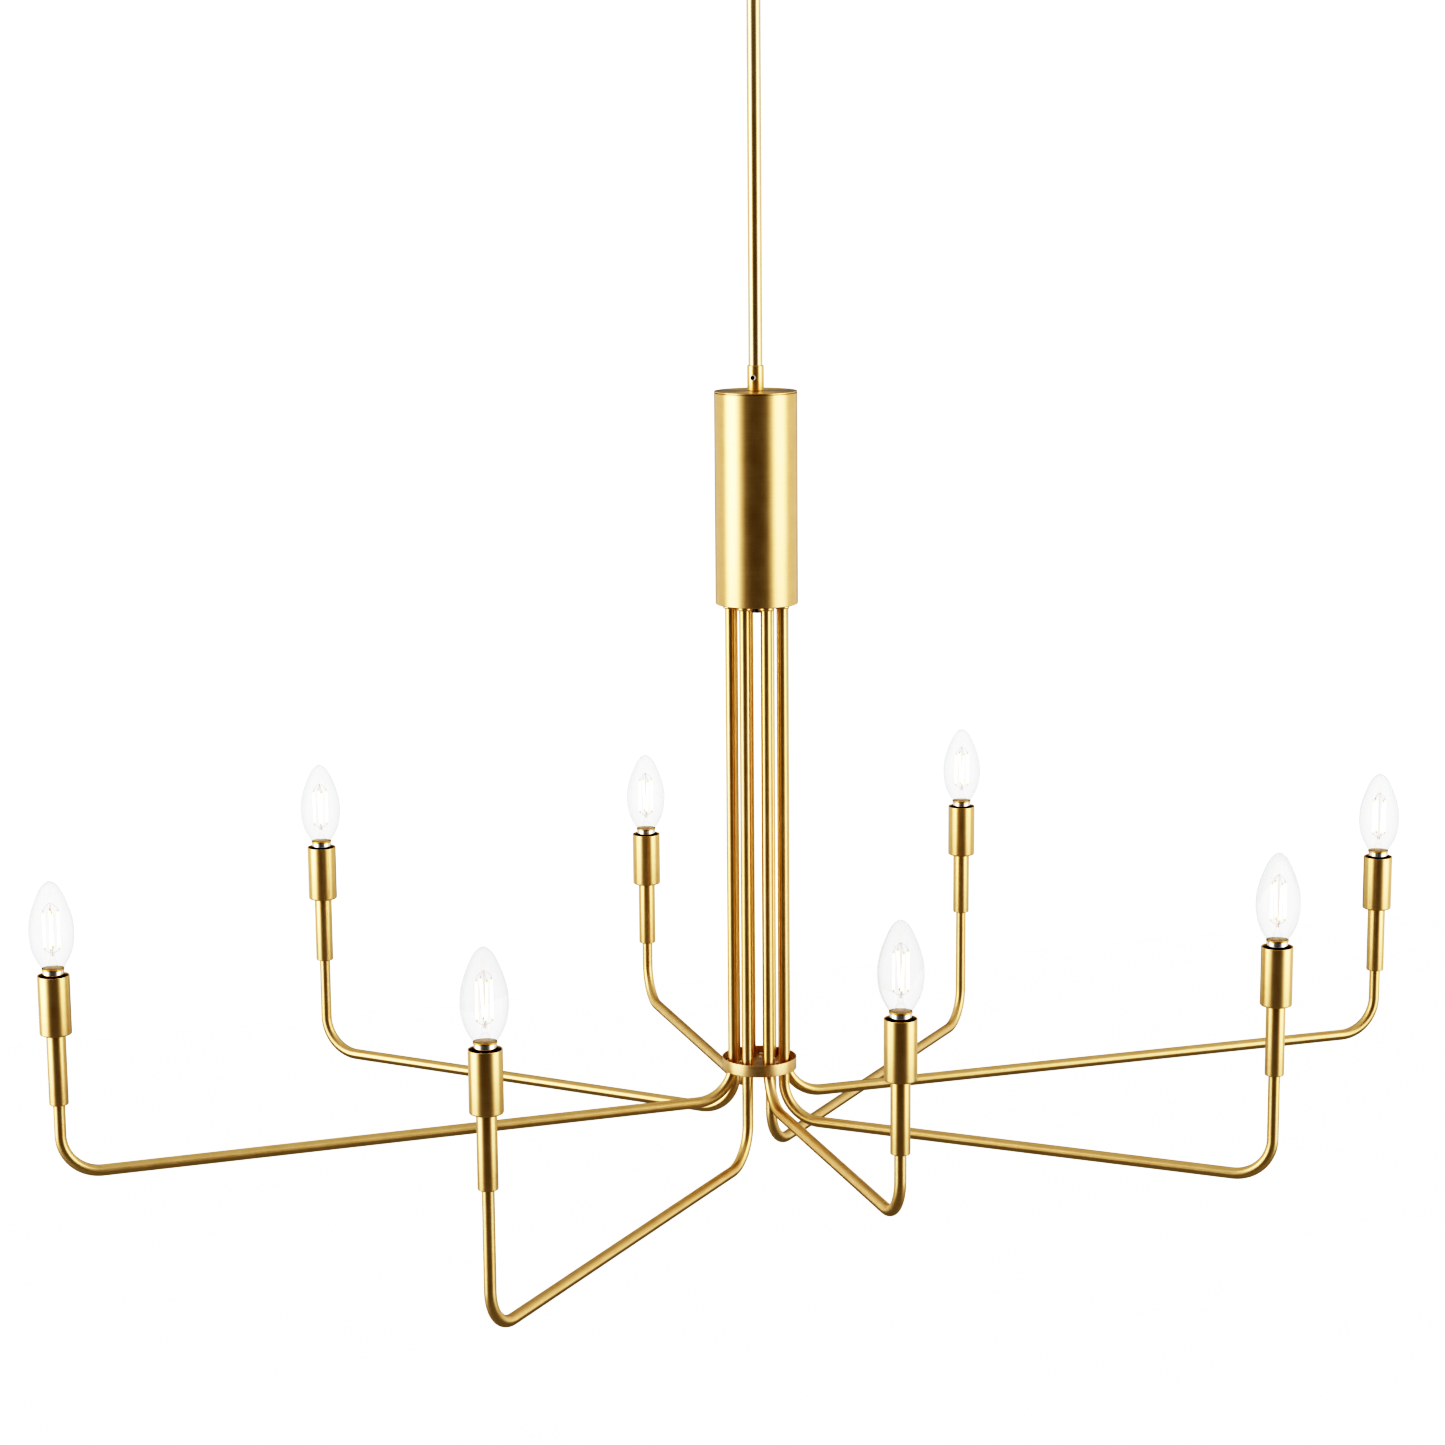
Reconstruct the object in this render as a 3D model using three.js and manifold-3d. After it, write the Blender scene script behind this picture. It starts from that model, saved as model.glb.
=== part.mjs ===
// Eight-arm brass chandelier on a straight rod, in millimetres, +Z up.
// The origin is the centre of the ceiling bracket's top face, +X runs along the two long arms
// and +Y along the two short ones. Arms are numbered 1 to 8, counterclockwise from +X.
import * as THREE from "three";
import { mergeVertices } from "three/addons/utils/BufferGeometryUtils.js";
import Module from "manifold-3d";

const wasm = await Module();
wasm.setup();

// ---- Driving dimensions ----

const GAP = 0.3; // play between pieces that touch

const CANDLE_RIM_Z = -845; // rims of the candle cups, below the ceiling
const ARM_TUBE = { radius: 4.57, bore: 3.5, sides: 8, boreSides: 6 };
const ARM_CIRCLE_RADIUS = 22.8; // the circle that the eight drop tubes stand on
const INNER_BEND_RADIUS = 32.5;
const OUTER_BEND_RADIUS = 32;
const BEND_STEPS = 5;
// reach: axis to candle; run: centre line of the level stretch below the candle rims; lift: cup height
const LONG_ARM = { reach: 584.7, run: 161.5, lift: 0 };
const LOW_ARM = { reach: 461.8, run: 212.2, lift: 0.5 };
const SHORT_ARM = { reach: 340.5, run: 161.5, lift: -4.7 };
const MIDDLE_ARM = { reach: 441.6, run: 177.6, lift: 11 };
const ARM_SEQUENCE = [LONG_ARM, LOW_ARM, SHORT_ARM, MIDDLE_ARM, LONG_ARM, LOW_ARM, SHORT_ARM, MIDDLE_ARM];
// Each arm is clamped turned a little about its own drop tube, in degrees.
const ARM_TURNS = [-0.2, 0.7, -1.5, -1.8, 1.2, 0.8, -1.5, 2.4];

const CUP = { radius: 12.5, wall: 1, floor: 1.5, height: 47.3, bevel: 0.8, sides: 12 };
const SLEEVE = { radius: 7.53, length: 56.8, bevel: 0.6, sides: 12 };
const SOCKET = { radius: 11.1, bore: 6.3, mouth: 8.7, depth: 24, belowRim: 1.2, entry: 3 };
const BULB = { tipZ: 74.9, glassZ: 5.8, neck: 8.5, radius: 17.5, wall: 1, sides: 12 };
const BULB_BASE = { ring: 8.8, skirt: 8.5, skirtBottom: -0.6, thread: 5.9, bottom: -21 };
const BULB_THREAD = { top: -3, bottom: -17 };

const HOUSING = { top: -411.9, length: 174.3, radius: 33.85, wall: 1.5, sides: 24 };
const HOUSING_BOTTOM = HOUSING.top - HOUSING.length;
const HOUSING_CAP = { thickness: 1.2, bevel: 0.4, lip: 3 };
const BASE_PLATE = { thickness: 3, ferruleRadius: 6.2, ferruleLength: 3 };
const ARM_TOP_Z = HOUSING_BOTTOM + BASE_PLATE.thickness + 8;
const HUB = { top: -971.3, height: 10, radius: 31.2, wall: 1, floorDepth: 6, floor: 3, sides: 24 };

const ROD = { radius: 5.65, bore: 4.4, top: -78, bottom: HOUSING.top + 7.3, sides: 12 };
const COUPLER = { radius: 6.8, length: 20.6, bevel: 0.7 };
const SET_SCREW = { radius: 2.4, z: HOUSING.top + 10.8, azimuth: 233, proud: 0.25 };
const TIE_ROD = { radius: 4.9, bore: 3.5, top: HOUSING.top + 6, bottom: HOUSING_BOTTOM - 7.4, sides: 12 };
const NUT = { acrossCorners: 17, height: 4 };
const TERMINAL_BLOCK = { width: 22, height: 14 };

const BRACKET = { length: 104, width: 20, thickness: 3, bossRadius: 9, bossDepth: 7 };
const BRACKET_SLOTS = { spacing: 84, width: 4.6, length: 14 };
const BRACKET_WIRE_HOLE = { radius: 5, x: 20 };
const NIPPLE = { radius: 5, bore: 3.4, top: -3.5, bottom: -22, sides: 12 };
const CANOPY = { radius: 63.5, depth: 27, wall: 1.2, hole: 12.5, corner: 4, sides: 24 };
const CANOPY_RIM_Z = -0.4;
const COLLAR = { radius: 17, height: 6, bevel: 1.2, sides: 16 };
const SWIVEL = { radius: 10.7, top: -15, bottom: -39.5, neck: 6, cavity: 7, spindle: 4, headRadius: 6.4 };
const PIVOT_Z = -54;
const YOKE = { discRadius: 10.4, discBottom: -45, legWidth: 13, legOuter: 7.6, legBelowPivot: 6 };
const TONGUE = { halfThickness: 3.7, width: 12 };
const ROD_EYE = { radius: 7.5, top: -68, bottom: -91 };
const PIN = { radius: 2.2, halfLength: 9.2, sides: 12 };

// ---- Materials ----

const brass = { color: 0xc9a24c, roughness: 0.32, metalness: 1 };
const steel = { color: 0xb9babb, roughness: 0.35, metalness: 1 };
const zincSteel = { color: 0x9a9ca0, roughness: 0.45, metalness: 1 };
const blackPlastic = { color: 0x14110f, roughness: 0.55, metalness: 0 };
const palePlastic = { color: 0xe4e0d6, roughness: 0.6, metalness: 0 };
const clearGlass = { color: 0xf6f8f8, roughness: 0.05, metalness: 0 };

// ---- Shape helpers ----

// Turns a profile of [radius, z] points about Z. Tubes are loops that close on themselves.
function turned(profile, sides) {
  const points = profile.map(([radius, z]) => new THREE.Vector2(radius, z));
  return new THREE.LatheGeometry(points, sides).rotateX(Math.PI / 2);
}

// A round tube or ring between two heights, with an optional bevel on its outer edges.
function ring(outer, inner, bottom, top, sides, bevel = 0) {
  const profile = [[inner, bottom], [outer - bevel, bottom]];
  if (bevel > 0) {
    profile.push([outer, bottom + bevel], [outer, top - bevel]);
  } else {
    profile.push([outer, top]);
  }
  if (bevel > 0) profile.push([outer - bevel, top]);
  profile.push([inner, top], [inner, bottom]);
  return turned(profile, sides);
}

function disc(radius, bottom, top, sides) {
  return turned([[0, bottom], [radius, bottom], [radius, top], [0, top]], sides);
}

function circlePoints(radius, sides) {
  const corner = (_, i) => {
    const angle = (2 * Math.PI * i) / sides;
    return new THREE.Vector2(radius * Math.cos(angle), radius * Math.sin(angle));
  };
  return Array.from({ length: sides }, corner);
}

// A block given by its centre and size.
function block(size, centre) {
  return new THREE.BoxGeometry(...size).translate(...centre);
}

function solidOf(geometry) {
  const bare = geometry.clone();
  bare.deleteAttribute("normal");
  bare.deleteAttribute("uv");
  const merged = mergeVertices(bare, 1e-4);
  const vertProperties = merged.attributes.position.array;
  const triVerts = new Uint32Array(merged.index.array);
  return new wasm.Manifold(new wasm.Mesh({ numProp: 3, vertProperties, triVerts }));
}

function geometryOf(solid) {
  const mesh = solid.getMesh();
  const geometry = new THREE.BufferGeometry();
  geometry.setAttribute("position", new THREE.BufferAttribute(mesh.vertProperties, 3));
  geometry.setIndex(new THREE.BufferAttribute(mesh.triVerts, 1));
  geometry.computeVertexNormals();
  return geometry;
}

// Joins the added geometries to the first one, then cuts away the removed ones.
function carved(base, { add = [], remove = [] }) {
  let solid = solidOf(base);
  for (const geometry of add) solid = solid.add(solidOf(geometry));
  for (const geometry of remove) solid = solid.subtract(solidOf(geometry));
  return geometryOf(solid);
}

// ---- Arms ----

const radians = THREE.MathUtils.degToRad;
const armAzimuth = (index) => radians(45 * index);

// Centre line of one arm in the XZ plane, from its drop tube's axis, sampled where it changes:
// down, out and up again.
class ArmCentreLine extends THREE.Curve {
  constructor({ reach, run, lift }) {
    super();
    const level = CANDLE_RIM_Z - run;
    const cupFloor = CANDLE_RIM_Z + lift - CUP.height + CUP.floor;
    this.stations = [];
    const end = reach - ARM_CIRCLE_RADIUS;
    this.addStation(0, ARM_TOP_Z, 0, -1);
    this.addBend(INNER_BEND_RADIUS, level + INNER_BEND_RADIUS, INNER_BEND_RADIUS, 180);
    this.addBend(end - OUTER_BEND_RADIUS, level + OUTER_BEND_RADIUS, OUTER_BEND_RADIUS, 270);
    this.addStation(end, cupFloor, 0, 1);
  }

  addStation(x, z, directionX, directionZ) {
    const point = new THREE.Vector3(x, 0, z);
    const tangent = new THREE.Vector3(directionX, 0, directionZ);
    this.stations.push({ point, tangent });
  }

  // A quarter turn about (x, z), from the given angle, counterclockwise.
  addBend(x, z, radius, startAngle) {
    for (let i = 0; i <= BEND_STEPS; i++) {
      const angle = radians(startAngle + (90 * i) / BEND_STEPS);
      const [c, s] = [Math.cos(angle), Math.sin(angle)];
      this.addStation(x + radius * c, z + radius * s, -s, c);
    }
  }

  stationAt(u) {
    return this.stations[Math.round(u * (this.stations.length - 1))];
  }

  getPoint(t, target = new THREE.Vector3()) {
    return target.copy(this.stationAt(t).point);
  }

  getPointAt(u, target) {
    return this.getPoint(u, target);
  }

  getTangentAt(u, target = new THREE.Vector3()) {
    return target.copy(this.stationAt(u).tangent);
  }
}

function alongArm(arm, section) {
  const extrudePath = new ArmCentreLine(arm);
  return new THREE.ExtrudeGeometry(section, { extrudePath, steps: extrudePath.stations.length - 1 });
}

function armTube(arm) {
  const section = new THREE.Shape(circlePoints(ARM_TUBE.radius, ARM_TUBE.sides));
  section.holes.push(new THREE.Path(circlePoints(ARM_TUBE.bore, ARM_TUBE.boreSides).reverse()));
  return alongArm(arm, section);
}

// The room that an arm takes, with play all round, for the holes that it passes through.
function armRoom(index) {
  const section = new THREE.Shape(circlePoints(ARM_TUBE.radius + GAP, ARM_TUBE.sides));
  return alongArm(ARM_SEQUENCE[index], section)
    .rotateZ(radians(ARM_TURNS[index]))
    .translate(ARM_CIRCLE_RADIUS, 0, 0)
    .rotateZ(armAzimuth(index));
}

const armRooms = ARM_SEQUENCE.map((_, index) => armRoom(index));

// ---- Candle pieces, built on Z with the cup's rim at zero ----

const ARM_HOLE_RADIUS = ARM_TUBE.radius + GAP + 0.2;

function candleSleeve() {
  const top = -CUP.height - GAP;
  const bottom = -CUP.height - SLEEVE.length;
  const profile = [
    [ARM_HOLE_RADIUS, bottom],
    [SLEEVE.radius - SLEEVE.bevel, bottom],
    [SLEEVE.radius, bottom + SLEEVE.bevel],
    [SLEEVE.radius, top],
    [ARM_HOLE_RADIUS, top],
    [ARM_HOLE_RADIUS, bottom],
  ];
  return turned(profile, SLEEVE.sides);
}

function candleCup() {
  const inner = CUP.radius - CUP.wall;
  const profile = [
    [ARM_HOLE_RADIUS, -CUP.height],
    [CUP.radius - CUP.bevel, -CUP.height],
    [CUP.radius, -CUP.height + CUP.bevel],
    [CUP.radius, 0],
    [inner, 0],
    [inner, -CUP.height + CUP.floor],
    [ARM_HOLE_RADIUS, -CUP.height + CUP.floor],
    [ARM_HOLE_RADIUS, -CUP.height],
  ];
  return turned(profile, CUP.sides);
}

function lampSocket() {
  const top = -SOCKET.belowRim;
  const bottom = -CUP.height + CUP.floor + GAP;
  const profile = [
    [0, bottom],
    [SOCKET.radius, bottom],
    [SOCKET.radius, top],
    [SOCKET.mouth, top],
    [SOCKET.bore, top - SOCKET.entry],
    [SOCKET.bore, -SOCKET.depth],
    [0, -SOCKET.depth],
  ];
  return turned(profile, CUP.sides);
}

// The glass from its neck to its tip, offset inwards by the given inset.
function glassOutline(inset, samples) {
  const tip = BULB.tipZ - inset;
  const belly = BULB.radius - inset;
  const outline = new THREE.SplineCurve([
    new THREE.Vector2(BULB.neck - inset, BULB.glassZ),
    new THREE.Vector2(0.76 * belly, 16),
    new THREE.Vector2(0.97 * belly, 30),
    new THREE.Vector2(0.965 * belly, 44),
    new THREE.Vector2(0.7 * belly, 60),
    new THREE.Vector2(0.26 * belly, tip - 3.2),
    new THREE.Vector2(0, tip),
  ]);
  return outline.getPoints(samples).map(({ x, y }) => [Math.max(x, 0), y]);
}

// A hollow lamp, open through a small hole in its end contact.
function bulb() {
  const inside = glassOutline(BULB.wall, 4).reverse();
  const { ring: ringRadius, skirt, skirtBottom, thread, bottom } = BULB_BASE;
  const profile = [
    ...inside,
    [skirt - BULB.wall, skirtBottom + BULB.wall],
    [thread - BULB.wall, BULB_THREAD.top],
    [thread - BULB.wall, BULB_THREAD.bottom],
    [1.2, bottom + BULB.wall],
    [1.2, bottom],
    [2.8, bottom],
    [thread, BULB_THREAD.bottom],
    [thread, BULB_THREAD.top],
    [skirt, skirtBottom],
    [skirt, BULB.glassZ - 1.6],
    [ringRadius, BULB.glassZ - 1.2],
    ...glassOutline(0, 7),
  ];
  return turned(profile, BULB.sides);
}

// ---- Hub and housing ----

function hubPlate() {
  const top = HUB.top - HUB.floorDepth;
  const plate = disc(HUB.radius - HUB.wall - GAP, top - HUB.floor, top, HUB.sides);
  return carved(plate, { remove: armRooms });
}

function hubRing() {
  const bottom = HUB.top - HUB.height;
  return ring(HUB.radius, HUB.radius - HUB.wall, bottom, HUB.top, HUB.sides);
}

function housingShell() {
  const top = HOUSING.top - HOUSING_CAP.thickness - GAP;
  return ring(HOUSING.radius, HOUSING.radius - HOUSING.wall, HOUSING_BOTTOM, top, HOUSING.sides);
}

function housingCap() {
  const { thickness, bevel, lip } = HOUSING_CAP;
  const hole = TIE_ROD.radius + GAP;
  const lipRadius = HOUSING.radius - HOUSING.wall - GAP;
  const underside = HOUSING.top - thickness;
  const profile = [
    [hole, underside - lip],
    [lipRadius, underside - lip],
    [lipRadius, underside],
    [HOUSING.radius, underside],
    [HOUSING.radius, HOUSING.top - bevel],
    [HOUSING.radius - bevel, HOUSING.top],
    [hole, HOUSING.top],
    [hole, underside - lip],
  ];
  return turned(profile, HOUSING.sides);
}

// The plate that closes the housing, with a ferrule below it round each drop tube.
function housingBasePlate() {
  const plateTop = HOUSING_BOTTOM + BASE_PLATE.thickness;
  const radius = HOUSING.radius - HOUSING.wall - GAP;
  const plate = ring(radius, TIE_ROD.radius + GAP, HOUSING_BOTTOM, plateTop, HOUSING.sides);
  const ferruleBottom = HOUSING_BOTTOM - BASE_PLATE.ferruleLength;
  const ferrules = ARM_SEQUENCE.map((_, index) =>
    disc(BASE_PLATE.ferruleRadius, ferruleBottom, HOUSING_BOTTOM + 1, 12)
      .translate(ARM_CIRCLE_RADIUS, 0, 0)
      .rotateZ(armAzimuth(index)),
  );
  return carved(plate, { add: ferrules, remove: armRooms });
}

function hexNut(bottom) {
  const top = bottom + NUT.height;
  const rodHole = disc(TIE_ROD.radius + GAP, bottom - 1, top + 1, TIE_ROD.sides);
  return carved(disc(NUT.acrossCorners / 2, bottom, top, 6), { remove: [rodHole] });
}

function terminalBlock() {
  const { width, height } = TERMINAL_BLOCK;
  const bottom = HOUSING_BOTTOM + BASE_PLATE.thickness + GAP;
  const body = block([width, width, height], [0, 0, bottom + height / 2]);
  const rodHole = disc(TIE_ROD.radius + GAP, bottom - 1, bottom + height + 1, 12);
  return carved(body, { remove: [rodHole] });
}

// ---- Rod, coupler and swivel ----

// Lies along +X from the rod's surface to just proud of the coupler.
function setScrewBarrel(radius, inner, outer) {
  return disc(radius, inner, outer, 12).rotateY(Math.PI / 2);
}

function stemCoupler() {
  const { radius, length, bevel } = COUPLER;
  const bottom = HOUSING.top + GAP;
  const top = HOUSING.top + length;
  const rodSeat = ROD.bottom - GAP;
  const profile = [
    [TIE_ROD.radius + GAP, bottom],
    [radius, bottom],
    [radius, top - bevel],
    [radius - bevel, top],
    [ROD.radius + GAP, top],
    [ROD.radius + GAP, rodSeat],
    [TIE_ROD.radius + GAP, rodSeat],
    [TIE_ROD.radius + GAP, bottom],
  ];
  const screwHole = setScrewBarrel(SET_SCREW.radius + GAP, ROD.radius - 1, radius + 2)
    .translate(0, 0, SET_SCREW.z)
    .rotateZ(radians(SET_SCREW.azimuth));
  return carved(turned(profile, ROD.sides), { remove: [screwHole] });
}

// The eye on top of the rod: a barrel round the tube with a flat tongue for the pin.
function rodEye() {
  const { radius, top, bottom } = ROD_EYE;
  const { halfThickness, width } = TONGUE;
  const barrel = disc(radius, bottom, top, ROD.sides);
  const tongueHeight = PIVOT_Z - top + 2;
  const tongue = block([width, 2 * halfThickness, tongueHeight], [0, 0, top - 2 + tongueHeight / 2]);
  const nose = disc(width / 2, -halfThickness, halfThickness, 16)
    .rotateX(Math.PI / 2)
    .translate(0, 0, PIVOT_Z);
  const pinHole = disc(PIN.radius + GAP, -radius, radius, PIN.sides)
    .rotateX(Math.PI / 2)
    .translate(0, 0, PIVOT_Z);
  const rodHole = disc(ROD.radius + GAP, bottom - 1, ROD.top + GAP, ROD.sides);
  return carved(barrel, { add: [tongue, nose], remove: [pinHole, rodHole] });
}

// A disc with two legs below it for the pin, and a headed spindle above it.
function swivelYoke() {
  const { discRadius, discBottom, legWidth, legOuter, legBelowPivot } = YOKE;
  const legInner = TONGUE.halfThickness + GAP;
  const legBottom = PIVOT_Z - legBelowPivot;
  const legHeight = discBottom - legBottom + 1;
  const legThickness = legOuter - legInner;
  const discTop = SWIVEL.bottom - GAP;
  const headBottom = SWIVEL.bottom + SWIVEL.neck + GAP;
  const body = turned(
    [
      [0, discBottom],
      [discRadius, discBottom],
      [discRadius, discTop],
      [SWIVEL.spindle, discTop],
      [SWIVEL.spindle, headBottom],
      [SWIVEL.headRadius, headBottom],
      [SWIVEL.headRadius, headBottom + 3],
      [0, headBottom + 3],
    ],
    ROD.sides,
  );
  const legs = [-1, 1].map((side) =>
    block(
      [legWidth, legThickness, legHeight],
      [0, (side * (legInner + legOuter)) / 2, legBottom + legHeight / 2],
    ),
  );
  const pinHole = disc(PIN.radius + GAP, -discRadius, discRadius, PIN.sides)
    .rotateX(Math.PI / 2)
    .translate(0, 0, PIVOT_Z);
  return carved(body, { add: legs, remove: [pinHole] });
}

function swivelPin() {
  return disc(PIN.radius, -PIN.halfLength, PIN.halfLength, PIN.sides).rotateX(Math.PI / 2);
}

// A barrel under the nipple: its cavity holds the head of the yoke's spindle.
function swivelBody() {
  const { radius, top, bottom, neck, cavity, spindle } = SWIVEL;
  const nippleHole = NIPPLE.radius + GAP;
  const spindleHole = spindle + GAP;
  const cavityTop = NIPPLE.bottom + GAP;
  const profile = [
    [spindleHole, bottom],
    [radius, bottom],
    [radius, top],
    [nippleHole, top],
    [nippleHole, cavityTop],
    [cavity, cavityTop],
    [cavity, bottom + neck],
    [spindleHole, bottom + neck],
    [spindleHole, bottom],
  ];
  return turned(profile, COLLAR.sides);
}

// ---- Ceiling hardware ----

function slotAt(x) {
  const { width, length } = BRACKET_SLOTS;
  const straight = length - width;
  const middle = block([straight, width, 3 * BRACKET.thickness], [x, 0, -BRACKET.thickness / 2]);
  const end = (side) =>
    disc(width / 2, -2 * BRACKET.thickness, BRACKET.thickness, 12)
      .translate(x + (side * straight) / 2, 0, 0);
  return geometryOf(solidOf(middle).add(solidOf(end(-1))).add(solidOf(end(1))));
}

function ceilingBracket() {
  const { length, width, thickness, bossRadius, bossDepth } = BRACKET;
  const bar = block([length, width, thickness], [0, 0, -thickness / 2]);
  const boss = disc(bossRadius, -thickness - bossDepth, -thickness / 2, 16);
  const tapped = disc(NIPPLE.radius + GAP, -thickness - bossDepth - 1, -thickness, NIPPLE.sides);
  const slots = [-1, 1].map((side) => slotAt((side * BRACKET_SLOTS.spacing) / 2));
  const wireHole = disc(BRACKET_WIRE_HOLE.radius, -2 * thickness, thickness, 12)
    .translate(BRACKET_WIRE_HOLE.x, 0, 0);
  return carved(bar, { add: [boss], remove: [tapped, wireHole, ...slots] });
}

function ceilingCanopy() {
  const { radius, depth, wall, hole, corner } = CANOPY;
  const outerCorner = new THREE.EllipseCurve(
    radius - corner, -depth + corner, corner, corner, -Math.PI / 2, 0,
  );
  const innerRadius = corner - wall;
  const innerCorner = new THREE.EllipseCurve(
    radius - corner, -depth + corner, innerRadius, innerRadius, 0, -Math.PI / 2, true,
  );
  const profile = [
    [hole, -depth],
    ...outerCorner.getPoints(2).map(({ x, y }) => [x, y]),
    [radius, CANOPY_RIM_Z],
    [radius - wall, CANOPY_RIM_Z],
    ...innerCorner.getPoints(2).map(({ x, y }) => [x, y]),
    [hole, -depth + wall],
    [hole, -depth],
  ];
  return turned(profile, CANOPY.sides);
}

function canopyCollar() {
  const top = -CANOPY.depth - GAP;
  return ring(COLLAR.radius, SWIVEL.radius + GAP, top - COLLAR.height, top, COLLAR.sides, COLLAR.bevel);
}

// ---- Assembly ----

const chandelier = new THREE.Group();

function place(parent, name, geometry, look) {
  const mesh = new THREE.Mesh(geometry, new THREE.MeshStandardMaterial(look));
  mesh.name = name;
  parent.add(mesh);
  return mesh;
}

place(chandelier, "ceiling_bracket", ceilingBracket(), zincSteel);
const nippleTube = ring(NIPPLE.radius, NIPPLE.bore, NIPPLE.bottom, NIPPLE.top, NIPPLE.sides);
place(chandelier, "ceiling_nipple", nippleTube, zincSteel);
place(chandelier, "swivel_body", swivelBody(), brass);
place(chandelier, "ceiling_canopy", ceilingCanopy(), brass);
place(chandelier, "canopy_collar", canopyCollar(), brass);
place(chandelier, "swivel_yoke", swivelYoke(), brass);
place(chandelier, "swivel_pin", swivelPin(), steel).position.z = PIVOT_Z;
place(chandelier, "rod_eye", rodEye(), brass);

place(chandelier, "downrod", ring(ROD.radius, ROD.bore, ROD.bottom, ROD.top, ROD.sides), brass);
place(chandelier, "stem_coupler", stemCoupler(), brass);
const screwInner = ROD.radius + GAP;
const setScrew = setScrewBarrel(SET_SCREW.radius, screwInner, COUPLER.radius + SET_SCREW.proud);
const placedScrew = place(chandelier, "coupler_set_screw", setScrew, steel);
placedScrew.position.z = SET_SCREW.z;
placedScrew.rotation.z = radians(SET_SCREW.azimuth);

place(chandelier, "housing_cap", housingCap(), brass);
place(chandelier, "housing_shell", housingShell(), brass);
place(chandelier, "housing_base_plate", housingBasePlate(), brass);
const tieRodTube = ring(TIE_ROD.radius, TIE_ROD.bore, TIE_ROD.bottom, TIE_ROD.top, TIE_ROD.sides);
place(chandelier, "tie_rod", tieRodTube, zincSteel);
const topNutBottom = HOUSING.top - HOUSING_CAP.thickness - HOUSING_CAP.lip - GAP - NUT.height;
place(chandelier, "tie_rod_top_nut", hexNut(topNutBottom), zincSteel);
place(chandelier, "tie_rod_bottom_nut", hexNut(HOUSING_BOTTOM - GAP - NUT.height), zincSteel);
place(chandelier, "terminal_block", terminalBlock(), palePlastic);
place(chandelier, "hub_ring", hubRing(), brass);
place(chandelier, "hub_plate", hubPlate(), brass);

ARM_SEQUENCE.forEach((arm, index) => {
  const number = index + 1;
  const azimuth = armAzimuth(index);
  const branch = new THREE.Group();
  branch.position.set(ARM_CIRCLE_RADIUS * Math.cos(azimuth), ARM_CIRCLE_RADIUS * Math.sin(azimuth), 0);
  branch.rotation.z = azimuth + radians(ARM_TURNS[index]);
  chandelier.add(branch);
  place(branch, `arm_${number}`, armTube(arm), brass);

  const candle = new THREE.Group();
  candle.position.set(arm.reach - ARM_CIRCLE_RADIUS, 0, CANDLE_RIM_Z + arm.lift);
  candle.rotation.z = -branch.rotation.z;
  branch.add(candle);
  place(candle, `candle_sleeve_${number}`, candleSleeve(), brass);
  place(candle, `candle_cup_${number}`, candleCup(), brass);
  place(candle, `lamp_socket_${number}`, lampSocket(), blackPlastic);
  place(candle, `bulb_${number}`, bulb(), clearGlass);
});

export default chandelier;
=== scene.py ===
"""Eight-arm brushed-brass chandelier with clear candle lamps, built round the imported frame.

Shapes are in millimetres with +Z up, and are scaled to metres as each mesh is made. Heights,
centres and reaches are taken from the frame's own boxes. Each lathe-turned or swept mesh carries
a UV map, whose U runs along the piece, and a "grain" attribute that the brushing follows.
"""

import math

import bmesh
import bpy
from mathutils import Matrix, Vector
from mathutils.geometry import tessellate_polygon


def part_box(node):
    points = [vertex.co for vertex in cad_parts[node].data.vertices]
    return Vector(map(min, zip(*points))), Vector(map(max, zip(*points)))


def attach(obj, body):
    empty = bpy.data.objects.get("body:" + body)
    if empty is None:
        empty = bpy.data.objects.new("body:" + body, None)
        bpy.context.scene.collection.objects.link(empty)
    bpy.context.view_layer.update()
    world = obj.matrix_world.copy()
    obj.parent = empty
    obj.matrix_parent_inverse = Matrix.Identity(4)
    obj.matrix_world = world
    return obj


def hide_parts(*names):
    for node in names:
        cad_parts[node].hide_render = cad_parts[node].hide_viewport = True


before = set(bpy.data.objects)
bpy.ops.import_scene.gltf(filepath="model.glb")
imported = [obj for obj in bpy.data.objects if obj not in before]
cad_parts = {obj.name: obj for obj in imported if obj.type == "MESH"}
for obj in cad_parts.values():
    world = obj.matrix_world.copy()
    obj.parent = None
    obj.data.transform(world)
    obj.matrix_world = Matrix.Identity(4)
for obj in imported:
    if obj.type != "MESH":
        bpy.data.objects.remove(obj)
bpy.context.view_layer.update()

# ---- Dimensions, in millimetres ----

MM = 0.001
PLAY = 0.3  # clearance that the frame keeps between neighbours

TUBE_RADIUS = 4.57
TUBE_BORE = 3.5
TUBE_CIRCLE = 22.8
INNER_BEND = 32.5
OUTER_BEND = 32.0
BEND_STEPS = 18

CUP_WALL = 1.0
CUP_FLOOR = 1.5
SOCKET_RADIUS = 11.1
ROD_BORE = 4.4
HOUSING_WALL = 1.5
CAP_LIP = 3.0
CAP_SHADOW = 0.25
PLATE_THICKNESS = 3.0
FERRULE_RADIUS = 6.2
FERRULE_LENGTH = 3.0

GLASS_TIP = 74.9
GLASS_NECK = 5.8
GLASS_BELLY = 17.4
NECK_RADIUS = 8.4
SKIRT_RADIUS = 8.4
GLASS_WALL = 0.35

# ---- Places, from the frame ----


def span(node):
    """The node's lowest and highest z, in millimetres."""
    low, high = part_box(node)
    return low.z / MM, high.z / MM


def size(node):
    """The node's sides, in millimetres."""
    low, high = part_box(node)
    return (high - low) / MM


def half_width(node):
    """Half of the node's widest horizontal side, in millimetres."""
    return max(size(node).xy) / 2


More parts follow.
